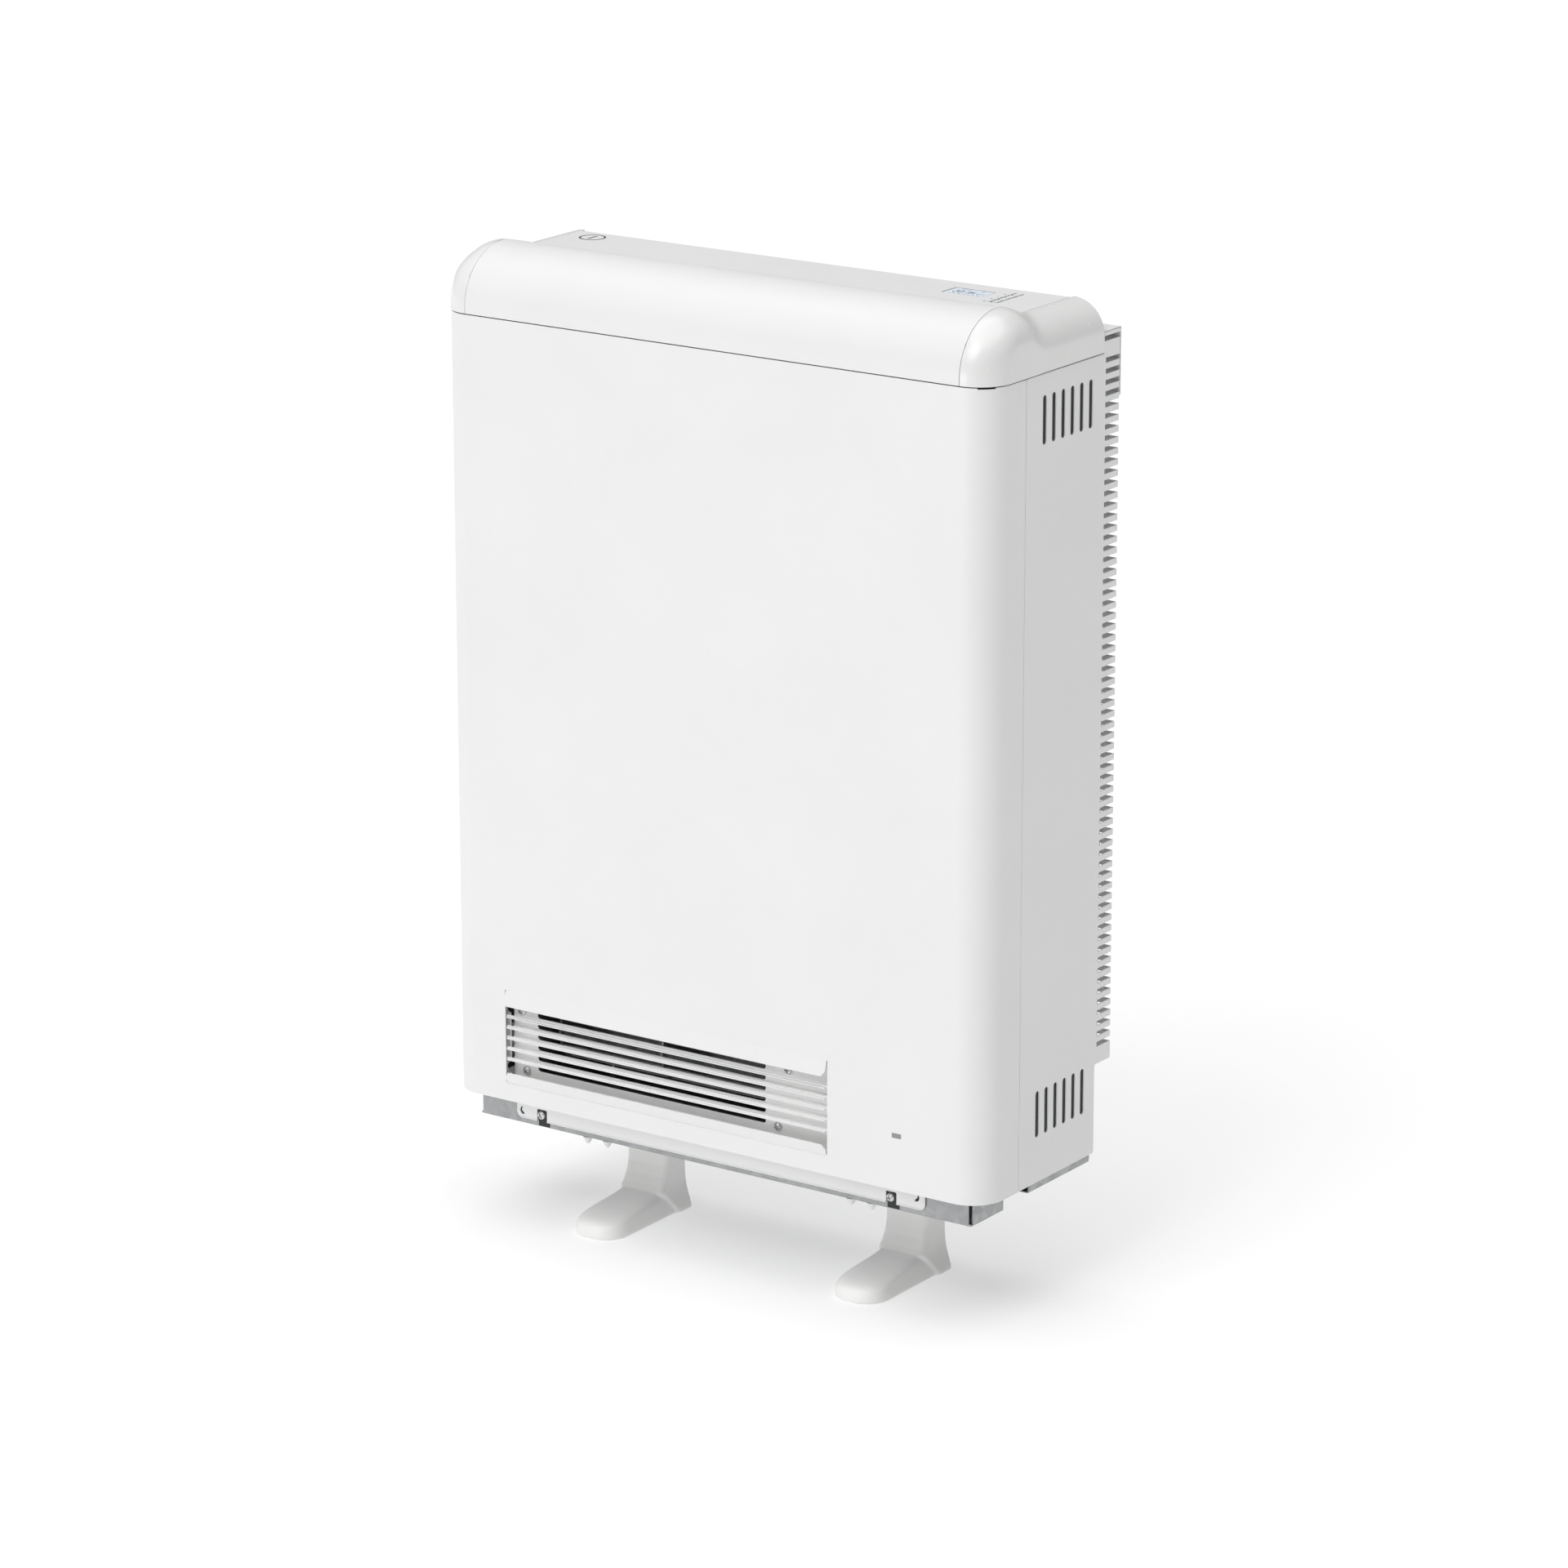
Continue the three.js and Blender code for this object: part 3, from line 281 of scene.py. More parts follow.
# ------------------------------------------------------------------ mesh helpers
class Geo:
    def __init__(self):
        self.v, self.f, self.n = [], [], []

    def add(self, v, f):
        b = len(self.v)
        self.v += [tuple(p) for p in v]
        self.f += [tuple(i + b for i in q) for q in f]
        return self

    def prism(self, poly, a0, a1, axis):
        """Outline swept along an axis. The outline is (y, z) for x, (x, z) for y and (x, y) for z."""
        put = {"x": lambda a, p: (a, p[0], p[1]), "y": lambda a, p: (p[0], a, p[1]), "z": lambda a, p: (p[0], p[1], a)}[axis]
        n = len(poly)
        v = [put(a0, p) for p in poly] + [put(a1, p) for p in poly]
        f = [tuple(range(n))[::-1], tuple(range(n, 2 * n))]
        f += [(i, (i + 1) % n, n + (i + 1) % n, n + i) for i in range(n)]
        return self.add(v, f)

    def box(self, x0, x1, y0, y1, z0, z1):
        return self.prism([(x0, y0), (x1, y0), (x1, y1), (x0, y1)], z0, z1, "z")

    def lathe(self, prof, centre, axis="y", seg=40, sign=1.0):
        """Profile (radius, distance) turned about an axis through centre; radius 0 closes an end."""
        rows = []
        v = []
        for r, h in prof:
            if r < 1e-6:
                rows.append([len(v)])
                v.append((0.0, 0.0, h * sign))
            else:
                rows.append(list(range(len(v), len(v) + seg)))
                v += [(r * math.cos(2 * PI * i / seg), r * math.sin(2 * PI * i / seg), h * sign) for i in range(seg)]
        f = []
        for a, b in zip(rows, rows[1:]):
            for i in range(seg):
                j = (i + 1) % seg
                if len(a) == 1 and len(b) > 1:
                    f.append((a[0], b[i], b[j]))
                elif len(b) == 1 and len(a) > 1:
                    f.append((a[i], b[0], a[j]))
                elif len(a) > 1:
                    f.append((a[i], b[i], b[j], a[j]))
        cx, cy, cz = centre
        if axis == "y":
            v = [(cx + p[0], cy + p[2], cz + p[1]) for p in v]
        elif axis == "z":
            v = [(cx + p[0], cy + p[1], cz + p[2]) for p in v]
        else:
            v = [(cx + p[2], cy + p[0], cz + p[1]) for p in v]
        return self.add(v, f)


def fillet(poly, r, n=4):
    out, m = [], len(poly)
    for i in range(m):
        p0, p1, p2 = (np.array(poly[(i + k) % m], float) for k in (-1, 0, 1))
        a, b = p0 - p1, p2 - p1
        la, lb = np.linalg.norm(a), np.linalg.norm(b)
        a, b = a / la, b / lb
        ri = r[i] if isinstance(r, (list, tuple)) else r
        ang = math.acos(max(-1.0, min(1.0, float(a @ b))))
        if ri <= 0 or ang > PI - 0.02:
            out.append((float(p1[0]), float(p1[1])))
            continue
        d = min(ri / math.tan(ang / 2), la * 0.49, lb * 0.49)
        rr = d * math.tan(ang / 2)
        bis = (a + b) / np.linalg.norm(a + b)
        c = p1 + bis * (rr / math.sin(ang / 2))
        s, e = p1 + a * d - c, p1 + b * d - c
        a0, a1 = math.atan2(s[1], s[0]), math.atan2(e[1], e[0])
        da = (a1 - a0 + PI) % (2 * PI) - PI
        for k in range(n + 1):
            t = a0 + da * k / n
            out.append((float(c[0] + rr * math.cos(t)), float(c[1] + rr * math.sin(t))))
    return out


def rect(x0, x1, y0, y1, r=0.0, n=4):
    p = [(x0, y0), (x1, y0), (x1, y1), (x0, y1)]
    return fillet(p, r, n) if r else p


def circle(x, y, r, n=24):
    return [(x + r * math.cos(2 * PI * i / n), y + r * math.sin(2 * PI * i / n)) for i in range(n)]


def inside(pts, poly):
    x, y = pts[:, 0], pts[:, 1]
    got = np.zeros(len(pts), bool)
    j = len(poly) - 1
    for i in range(len(poly)):
        (xi, yi), (xj, yj) = poly[i], poly[j]
        if yi != yj:
            cross = ((yi > y) != (yj > y)) & (x < (xj - xi) * (y - yi) / (yj - yi) + xi)
            got ^= cross
        j = i
    return got


def mesh2d(outline, holes, lines):
    vc, ed = [], []

    def ring(poly):
        b = len(vc)
        vc.extend(Vector((float(p[0]), float(p[1]))) for p in poly)
        ed.extend((b + i, b + (i + 1) % len(poly)) for i in range(len(poly)))

    ring(outline)
    for h in holes:
        ring(h)
    for a, b in lines:
        vc.extend([Vector(a), Vector(b)])
        ed.append((len(vc) - 2, len(vc) - 1))
    res = delaunay_2d_cdt(vc, ed, [], 0, 1e-4, False)
    pts = np.array([(v.x, v.y) for v in res[0]])
    tris = np.array([t for t in res[2] if len(t) == 3])
    c = pts[tris].mean(1)
    keep = inside(c, outline)
    for h in holes:
        keep &= ~inside(c, h)
    q = pts[tris]
    area = np.abs((q[:, 1, 0] - q[:, 0, 0]) * (q[:, 2, 1] - q[:, 0, 1]) - (q[:, 2, 0] - q[:, 0, 0]) * (q[:, 1, 1] - q[:, 0, 1]))
    keep &= area > 1e-7
    tris = tris[keep]
    used = np.unique(tris)
    back = -np.ones(len(pts), int)
    back[used] = np.arange(len(used))
    return pts[used], back[tris]


def miters(poly, sign):
    """Unit-offset directions at the corners of a closed outline; sign 1 points out of an anticlockwise one."""
    p = np.array(poly, float)
    e = np.roll(p, -1, 0) - p
    e /= np.linalg.norm(e, axis=1)[:, None]
    n = np.stack([e[:, 1], -e[:, 0]], 1)
    q = np.roll(n, 1, 0)
    d = 1 + (n * q).sum(1)
    return sign * (n + q) / np.maximum(d, 0.35)[:, None]


def moved(poly, amount):
    """Outline moved outwards by amount, whatever way round it was drawn."""
    p = np.array(poly, float)
    keep = np.linalg.norm(np.roll(p, -1, 0) - p, axis=1) > 1e-5
    p = p[keep]
    x, y = p[:, 0], p[:, 1]
    area = float((x * np.roll(y, -1) - np.roll(x, -1) * y).sum())
    return [tuple(map(float, q)) for q in p + miters(p, 1.0 if area > 0 else -1.0) * amount]


def folded(geo, outline, holes, lines, place, t, edge=0.25):
    """A flat blank with holes, bent into shape by place(u, v) -> (point, outward normal), t thick.
    Its cut edges are rounded by edge, and every vertex gets its exact normal."""
    edge = min(edge, t * 0.45)
    pts, tris = mesh2d(moved(outline, -edge), [moved(h, edge) for h in holes], lines)
    k = len(pts)
    q = pts[tris]
    area = (q[:, 1, 0] - q[:, 0, 0]) * (q[:, 2, 1] - q[:, 0, 1]) - (q[:, 2, 0] - q[:, 0, 0]) * (q[:, 1, 1] - q[:, 0, 1])
    tris[area < 0] = tris[area < 0][:, ::-1]
    P3, N3 = [], []
    for u, v in pts:
        p, n = place(float(u), float(v))
        P3.append(p)
        N3.append(n)
    P3, N3 = np.array(P3, float), np.array(N3, float)
    # is the map right-handed with its normal?
    a, b, c = P3[tris[:, 0]], P3[tris[:, 1]], P3[tris[:, 2]]
    face_n = np.cross(b - a, c - a)
    flip = float((face_n * N3[tris[:, 0]]).sum()) < 0
    half = {(int(i), int(j)) for tri in tris for i, j in zip(tri, np.roll(tri, -1))}
    rim = [(i, j) for i, j in half if (j, i) not in half]
    after = {i: j for i, j in rim}
    before = {j: i for i, j in rim}
    verts = [tuple(p) for p in P3] + [tuple(p) for p in P3 - N3 * t]
    norms = [tuple(n) for n in N3] + [tuple(-n) for n in N3]
    ring = {}
    for i in after:
        h, j = before.get(i, i), after[i]
        e1, e2 = pts[i] - pts[h], pts[j] - pts[i]
        e1, e2 = e1 / (np.linalg.norm(e1) or 1.0), e2 / (np.linalg.norm(e2) or 1.0)
        m = np.array([e1[1] + e2[1], -e1[0] - e2[0]])
        m = m / max(0.35, 1 + float(e1 @ e2))
        size = float(np.linalg.norm(m))
        back = pts[i] - m / (size or 1.0) * 0.02
        w = P3[i] - np.array(place(float(back[0]), float(back[1]))[0], float)
        w -= N3[i] * float(w @ N3[i])
        w /= np.linalg.norm(w) or 1.0
        ids = []
        for f, deep in ((45, 0), (90, 0), (90, 1), (45, 1)):
            f = math.radians(f)
            inward = edge * (1 - math.cos(f)) if not deep else t - edge * (1 - math.cos(f))
            ids.append(len(verts))
            verts.append(tuple(P3[i] + w * (edge * math.sin(f) * size) - N3[i] * inward))
            norms.append(tuple(N3[i] * (math.cos(f) * (-1 if deep else 1)) + w * math.sin(f)))
        ring[i] = [i] + ids + [i + k]
    faces = [tuple(int(i) for i in tri) for tri in tris] + [tuple(int(i) + k for i in tri[::-1]) for tri in tris]
    for i, j in rim:
        for m in range(5):
            faces.append((ring[j][m], ring[i][m], ring[i][m + 1], ring[j][m + 1]))
    if flip:
        faces = [f[::-1] for f in faces]
    geo.add(verts, faces)
    geo.n += norms
    return geo


def bake(ob):
    dg = bpy.context.evaluated_depsgraph_get()
    me = bpy.data.meshes.new_from_object(ob.evaluated_get(dg), preserve_all_data_layers=True, depsgraph=dg)
    ob.modifiers.clear()
    old = ob.data
    ob.data = me
    me.name = ob.name
    bpy.data.meshes.remove(old)


def finish_piece(ob, body, stands_for):
    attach(ob, body)
    if stands_for:
        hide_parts(*stands_for)
    return ob


def sheet_piece(name, geo, mat, body="casing", stands_for=()):
    """A piece of folded sheets only: keeps the exact normals that folded() gave."""
    me = bpy.data.meshes.new(name)
    me.from_pydata([P(*v) for v in geo.v], [], geo.f)
    me.polygons.foreach_set("use_smooth", [True] * len(me.polygons))
    me.materials.append(M[mat])
    me.normals_split_custom_set_from_vertices([Vector(n).normalized() for n in geo.n])
    ob = bpy.data.objects.new(name, me)
    bpy.context.scene.collection.objects.link(ob)
    return finish_piece(ob, body, stands_for)


def piece(name, geo, mat, body="casing", stands_for=(), bevel=0.25, seg=2, angle=38.0, extra=None, weighted=True, merge=0.002):
    me = bpy.data.meshes.new(name)
    me.from_pydata([P(*v) for v in geo.v], [], geo.f)
    bm = bmesh.new()
    bm.from_mesh(me)
    bmesh.ops.remove_doubles(bm, verts=bm.verts, dist=merge / 1000.0)
    bmesh.ops.recalc_face_normals(bm, faces=bm.faces)
    for f in bm.faces:
        f.smooth = True
    bm.to_mesh(me)
    bm.free()
    me.materials.append(M[mat])
    ob = bpy.data.objects.new(name, me)
    bpy.context.scene.collection.objects.link(ob)
    if extra:
        extra(ob)
    if bevel:
        mod = ob.modifiers.new("edge", "BEVEL")
        mod.width = bevel / 1000.0
        mod.segments = seg
        mod.limit_method = "ANGLE"
        mod.angle_limit = math.radians(angle)
        mod.use_clamp_overlap = False
        mod.harden_normals = False
    if weighted:
        mod = ob.modifiers.new("normals", "WEIGHTED_NORMAL")
        mod.mode = "FACE_AREA"
        mod.weight = 60
        mod.keep_sharp = True
    if ob.modifiers:
        bake(ob)
    return finish_piece(ob, body, stands_for)


class Profile:
    """A bent sheet's section: points with outward normals, read by length along it."""

    def __init__(self, pts):
        self.a = np.array(pts, float)
        d = np.hypot(np.diff(self.a[:, 0]), np.diff(self.a[:, 1]))
        self.s = np.concatenate([[0.0], np.cumsum(d)])
        keep = np.concatenate([[True], d > 1e-6])
        self.a, self.s = self.a[keep], self.s[keep]

    def at(self, s):
        p = [float(np.interp(s, self.s, self.a[:, k])) for k in range(4)]
        m = math.hypot(p[2], p[3]) or 1.0
        return p[0], p[1], p[2] / m, p[3] / m

    def lines(self, w0, w1):
        """Bend lines: one at each sample where the section curves."""
        n = self.a[:, 2:]
        got = []
        for i, s in enumerate(self.s[1:-1], 1):
            got.append(((float(s), w0), (float(s), w1)))
        return got

    def where(self, k, value, lo=0):
        """Length at which coordinate k has this value, searched from sample lo on."""
        a = self.a[lo:, k]
        for i in range(len(a) - 1):
            if min(a[i], a[i + 1]) - 1e-9 <= value <= max(a[i], a[i + 1]) + 1e-9 and abs(a[i + 1] - a[i]) > 1e-9:
                return float(self.s[lo + i] + (self.s[lo + i + 1] - self.s[lo + i]) * (value - a[i]) / (a[i + 1] - a[i]))
        raise ValueError("value not on the profile")


# ------------------------------------------------------------------ front panel with hood and lip
def plan_corner_section():
    rx, ry, n = 28.0, 30.0, 22
    left = [(-HALF_W, 52.0, -1.0, 0.0)]
    for i in range(n + 1):
        a = i / n * PI / 2
        nx, ny = -math.cos(a) / rx, -math.sin(a) / ry
        m = math.hypot(nx, ny)
        left.append((-HALF_W + rx - rx * math.cos(a), ry - ry * math.sin(a), nx / m, ny / m))
    right = [(-p[0], p[1], -p[2], p[3]) for p in reversed(left)]
    return Profile(left + right)


# shallow crease along the foot of the outlet's lower lip: distance below the lip, depth, lean of the surface
CREASE = [(1.7, 0.0, 0.0), (1.5, 0.08, 0.75), (1.15, 0.42, 0.75), (0.95, 0.5, 0.0), (0.75, 0.42, -0.85), (0.4, 0.08, -0.85), (0.2, 0.0, 0.0)]


def front_panel():
    pr = plan_corner_section()
    mid = 23
    sx = lambda x: pr.where(0, x, mid)
    hood_len, hood_bend, hood_a = 13.6, 1.0, math.radians(16.4)
    lip_len, lip_bend, lip_a = 9.1, 0.6, math.radians(20.0)
    s0, s1, t0, t1 = sx(OUT_X0), sx(OUT_X1), sx(HOOD_X0), sx(HOOD_X1)
    hz, lz = OUT_Z1 - hood_len, OUT_Z0 + lip_len
    hole = [(s0, OUT_Z1), (t0, OUT_Z1), (t0, hz + 4.2), (t0 + 2.6, hz), (t1 - 3.4, hz), (t1, hz + 4.6), (t1, OUT_Z1), (s1, OUT_Z1),
            (s1, OUT_Z0), (t1, OUT_Z0), (t1, lz - 4.6), (t1 - 3.4, lz), (t0 + 2.6, lz), (t0, lz - 4.2), (t0, OUT_Z0), (s0, OUT_Z0)]
    hole = fillet(hole, [0, 0, 0.9, 0.9, 0.5, 0.5, 0.4, 0.4, 0.4, 0.4, 0.5, 0.5, 0.9, 0.9, 0, 0], 3)
    lines = pr.lines(PANEL_BOTTOM, PANEL_TOP)
    for k in range(6):
        z = OUT_Z1 - hood_bend * k / 5
        lines.append(((t0, z), (t1, z)))
        z = OUT_Z0 + lip_bend * k / 5
        lines.append(((t0, z), (t1, z)))
    for d, _, _ in CREASE:
        lines.append(((t0, OUT_Z0 - d), (t1, OUT_Z0 - d)))

    def tongue(d, bend, ang):
        kap = ang / bend
        if d < bend:
            f = kap * d
            return (1 - math.cos(f)) / kap, math.sin(f) / kap, f
        return (1 - math.cos(ang)) / kap + (d - bend) * math.sin(ang), math.sin(ang) / kap + (d - bend) * math.cos(ang), ang

    def place(s, z):
        if t0 - 0.3 <= s <= t1 + 0.3:
            if hz - 0.4 <= z < OUT_Z1:
                f, dz, a = tongue(OUT_Z1 - z, hood_bend, hood_a)
                return (pr.at(s)[0], -f, OUT_Z1 - dz), (0.0, -math.cos(a), math.sin(a))
            if OUT_Z0 < z <= lz + 0.4:
                f, dz, a = tongue(z - OUT_Z0, lip_bend, lip_a)
                return (pr.at(s)[0], -f, OUT_Z0 + dz), (0.0, -math.cos(a), -math.sin(a))
            for d, depth, lean in CREASE:
                if abs(OUT_Z0 - d - z) < 0.02:
                    return (pr.at(s)[0], depth, z), (0.0, -math.cos(lean), math.sin(lean))
        x, y, nx, ny = pr.at(s)
        return (x, y, z), (nx, ny, 0.0)

    g = Geo()
    end = float(pr.s[-1])
    top = [(end, PANEL_TOP), (sx(262.4), PANEL_TOP), (sx(262.0), PANEL_TOP - 0.9), (sx(252.4), PANEL_TOP - 0.9), (sx(252.0), PANEL_TOP), (0, PANEL_TOP)]
    folded(g, [(0, PANEL_BOTTOM), (end, PANEL_BOTTOM)] + top, [hole], lines, place, 1.2)
    sheet_piece("front_panel_sheet", g, "white_enamel", stands_for=("front_panel",))
    # stiffening return along the lower edge, behind the face
    g = Geo()
    g.prism(fillet([(1.25, 23.5), (9.0, 23.5), (9.0, 24.6), (1.25, 24.6)], 0.3, 2), -236, 236, "x")
    piece("front_panel_return", g, "white_enamel", bevel=0)


# ------------------------------------------------------------------ side panels with rear combs
def side_panel(sign):
    r = 0.8
    pts = [(HALF_W, 52.4, 1.0, 0.0), (HALF_W, 189.0 - r, 1.0, 0.0)]
    for i in range(1, 6):
        a = i / 5 * PI / 2
        pts.append((HALF_W - r + r * math.cos(a), 189.0 - r + r * math.sin(a), math.cos(a), math.sin(a)))
    pts.append((240.0, 189.0, 0.0, 1.0))
    pr = Profile(pts)
    sy = lambda y: y - 52.4
    flange = float(pr.s[-1])
    slot_end = pr.where(0, 254.0, 6)
    outline = [(0, 23.6), (sy(165), 23.6), (sy(165), 99.0), (flange, 99.0), (flange, 696.6), (sy(165.4), 696.6), (sy(165.4), 686.9), (0, 686.9)]
    outline = fillet(outline, [0.8, 1.2, 0.6, 1.0, 1.0, 1.2, 0.6, 0.8], 3)
    holes = [rect(sy(168.0), slot_end, 115.5 + i * 8.978 - 2.0, 115.5 + i * 8.978 + 2.0, 0.12, 2) for i in range(64)]
    for y in (79, 92.5, 106, 119.5, 133, 146.5):
        for a, b in ((62, 100.8), (630.5, 669.8)):
            holes.append(rect(sy(y) - 2.75, sy(y) + 2.75, a, b, 2.7, 7))
    lines = pr.lines(99.0, 696.6)

    def place(s, z):
        x, y, nx, ny = pr.at(s)
        return (sign * x, y, z), (sign * nx, ny, 0.0)

    g = Geo()
    folded(g, outline, holes, lines, place, 1.2)
    side = "right" if sign > 0 else "left"
    sheet_piece("side_sheet_" + side, g, "white_enamel", stands_for=("side_panel_" + side,))
    # black sheet behind the vent slots: painted shade standing in for the dark inside seen through them
    g = Geo()
    for a, b in ((57.0, 105.0), (626.0, 674.0)):
        g.box(sign * (HALF_W - 1.9), sign * (HALF_W - 1.25), 70.0, 155.5, a, b)
    piece("vent_shade_sheet_" + side, g, "black_moulding", bevel=0.1)


# ------------------------------------------------------------------ top cover
def crest(y):
    if y <= CREST_Y:
        return 692 + 48 * math.sqrt(max(0.0, 1 - ((CREST_Y - y) / 53.0) ** 2))
    if y >= VALLEY_Y:
        return TOP_FLAT
    return 735 + 5 * math.cos(PI * (y - CREST_Y) / (VALLEY_Y - CREST_Y))


def top_section():
    pts = [(0.0, COVER_BOTTOM, -1.0, 0.0), (0.0, 692.0, -1.0, 0.0)]
    for i in range(1, 41):
        a = i / 40 * PI / 2
        nx, nz = -math.cos(a) / 53, math.sin(a) / 48
        m = math.hypot(nx, nz)
        pts.append((53 - 53 * math.cos(a), 692 + 48 * math.sin(a), nx / m, nz / m))
    for i in range(1, 23):
        y = CREST_Y + (VALLEY_Y - CREST_Y) * i / 22
        d = -5 * math.sin(PI * (y - CREST_Y) / 42.0) * PI / 42.0
        m = math.hypot(d, 1.0)
        pts.append((y, crest(y), -d / m, 1.0 / m))
    r = 2.6
    pts.append((161.5 - r, TOP_FLAT, 0.0, 1.0))
    for i in range(1, 7):
        a = i / 6 * PI / 2
        pts.append((161.5 - r + r * math.sin(a), TOP_FLAT - r + r * math.cos(a), math.sin(a), math.cos(a)))
    pts.append((161.5, 704.0, 1.0, 0.0))
    return Profile(pts)


def top_cover():
    pr = top_section()
    start = 63
    sy = lambda y: pr.where(0, y, start)
    end = float(pr.s[-1])
    w = SEAM_X - 0.35
    holes = [rect(sy(LCD[2]), sy(LCD[3]), LCD[0], LCD[1], 0.8)]
    for i in range(2):
        for j in range(4):
            x, y = KEY_X0 + i * KEY_PX, KEY_Y0 + j * KEY_PY
            holes.append(rect(sy(y), sy(y + KEY_D + 0.6), x, x + KEY_W + 0.6, 0.7, 3))

    def place(s, x):
        y, z, ny, nz = pr.at(s)
        return (x, y, z), (0.0, ny, nz)

    g = Geo()
    folded(g, [(0, -w), (end, -w), (end, w), (0, w)], holes, pr.lines(-w, w), place, 1.5)
    sheet_piece("top_cover_sheet", g, "white_enamel", stands_for=("top_cover",))


# ------------------------------------------------------------------ moulded end caps
def end_cap(sign):
    zb, a, b, rs, zc = 692.0, 53.0, 48.0, 29.0, 711.0
    zrow = [COVER_BOTTOM, 688.3, 690.0, 692.0] + [692 + 48 * math.sin(i / 44 * PI / 2) for i in range(1, 45)]
    yback = 164.6

    def front_y(z):
        return CREST_Y - a if z <= zb else CREST_Y - a * math.sqrt(max(0.0, 1 - ((z - zb) / b) ** 2))

    def side_x(z):
        return CAP_HALF_W if z <= zc else CAP_HALF_W - rs + rs * math.sqrt(max(0.0, 1 - ((z - zc) / rs) ** 2))

    cols, n = [], 30
    for c in range(n + 2):
        col = []
        for z in zrow:
            X, Y = side_x(z), front_y(z)
            rx, ry = min(28.0, X - SEAM_X), min(30.0, CREST_Y - Y)
            if c == 0:
                col.append((SEAM_X, Y, z))
            else:
                t = (c - 1) / n * PI / 2
                col.append((X - rx + rx * math.sin(t), Y + ry - ry * math.cos(t), z))
        cols.append(col)
    ys = [CREST_Y + 2.4 * i for i in range(0, 25)] + [116, 124, 132, 140, 148, 156, 161, yback]
    for y in ys:
        col = []
        for z in zrow:
            x = side_x(z)
            out = min(1.0, max(0.0, (x - SEAM_X) / (CAP_HALF_W - SEAM_X)))
            ease = min(1.0, max(0.0, (y - CREST_Y) / 30.0))
            ease = ease * ease * (3 - 2 * ease)
            top = crest(y + 13.0 * out ** 1.5 * ease)
            zz = COVER_BOTTOM + (z - COVER_BOTTOM) * (top - rs - COVER_BOTTOM) / (zc - COVER_BOTTOM) if z <= zc else z - (740.0 - top)
            col.append((x, y, zz))
        cols.append(col)
    v, R = [], len(zrow)
    for col in cols:
        v += [(sign * p[0], p[1], p[2]) for p in col]
    f = []
    for c in range(len(cols) - 1):
        for r in range(R - 1):
            q = (c * R + r, (c + 1) * R + r, (c + 1) * R + r + 1, c * R + r + 1)
            f.append(q if sign > 0 else q[::-1])
    last = (len(cols) - 1) * R
    foot = len(v)
    v.append((sign * SEAM_X, yback, COVER_BOTTOM))
    for r in range(R - 1):
        q = (foot, last + r + 1, last + r)
        f.append(q if sign > 0 else q[::-1])
    g = Geo()
    g.add(v, f)

    def shell(ob):
        m = ob.modifiers.new("shell", "SOLIDIFY")
        m.thickness = 0.0024
        m.offset = -1.0
        m.use_even_offset = True

    side = "right" if sign > 0 else "left"
    piece("end_cap_moulding_" + side, g, "cap_moulding", stands_for=("end_cap_" + side,), bevel=0.5, seg=3, angle=48.0,
          extra=shell, merge=0.02)


# ------------------------------------------------------------------ base tray, fixing strip, clips
def base_tray():
    w, wr, step, y0, y1, h, t, r = 244.9, 214.0, 63.4, 15.3, 159.6, 30.0, 1.5, 1.8
    pts = [(y0, h, -1.0, 0.0), (y0, r, -1.0, 0.0)]
    for i in range(1, 6):
        a = i / 5 * PI / 2
        pts.append((y0 + r - r * math.cos(a), r - r * math.sin(a), -math.cos(a), -math.sin(a)))
    pts.append((y1 - r, 0.0, 0.0, -1.0))
    for i in range(1, 6):
        a = i / 5 * PI / 2
        pts.append((y1 - r + r * math.sin(a), r - r * math.cos(a), math.sin(a), -math.cos(a)))
    pts.append((y1, h, 1.0, 0.0))
    pr = Profile(pts)
    end = float(pr.s[-1])
    floor = lambda y: pr.where(0, y, 6)
    holes = []
    for x, z in FIX_SCREWS:
        holes.append(circle(h - z, x, 2.4, 20))
        holes.append(rect(h - 7.2, h - 0.6, x - 3.3, x + 8.2, 0.3, 3))
    holes.append(circle(floor(138.0), 186.0, 8.5, 32))
    for x, y in NUBS:
        holes.append(rect(floor(y) - 1.9, floor(y) + 1.9, x - 1.9, x + 1.9, 0.4, 3))

    def place(s, x):
        y, z, ny, nz = pr.at(s)
        return (x, y, z), (0.0, ny, nz)

    g = Geo()
    half = [(0, w - t - 0.5), (h - 2.2, w - t - 0.5), (h - 2.2, w - 0.6), (floor(step), w - 0.6), (floor(step), wr - 0.6), (end - h + 2.2, wr - 0.6),
            (end - h + 2.2, wr - t - 0.5), (end, wr - t - 0.5)]
    folded(g, [(q[0], -q[1]) for q in half] + half[::-1], holes, pr.lines(-w, w), place, t)
    sheet_piece("base_tray_sheet", g, "galvanised", stands_for=("base_tray",))
    g = Geo()
    for s in (-1, 1):
        for e, ya, yb in ((w, y0 + 3.2, step), (wr, step - 1.0, y1 - 0.8)):
            g.prism(fillet([(s * (e - t), 0.7), (s * (e - 0.25), 0.0), (s * e, 0.7), (s * e, h), (s * (e - t), h)], [0, 0.3, 0.5, 0, 0], 2), ya, yb, "y")
    piece("base_tray_sides", g, "galvanised", bevel=0.25)


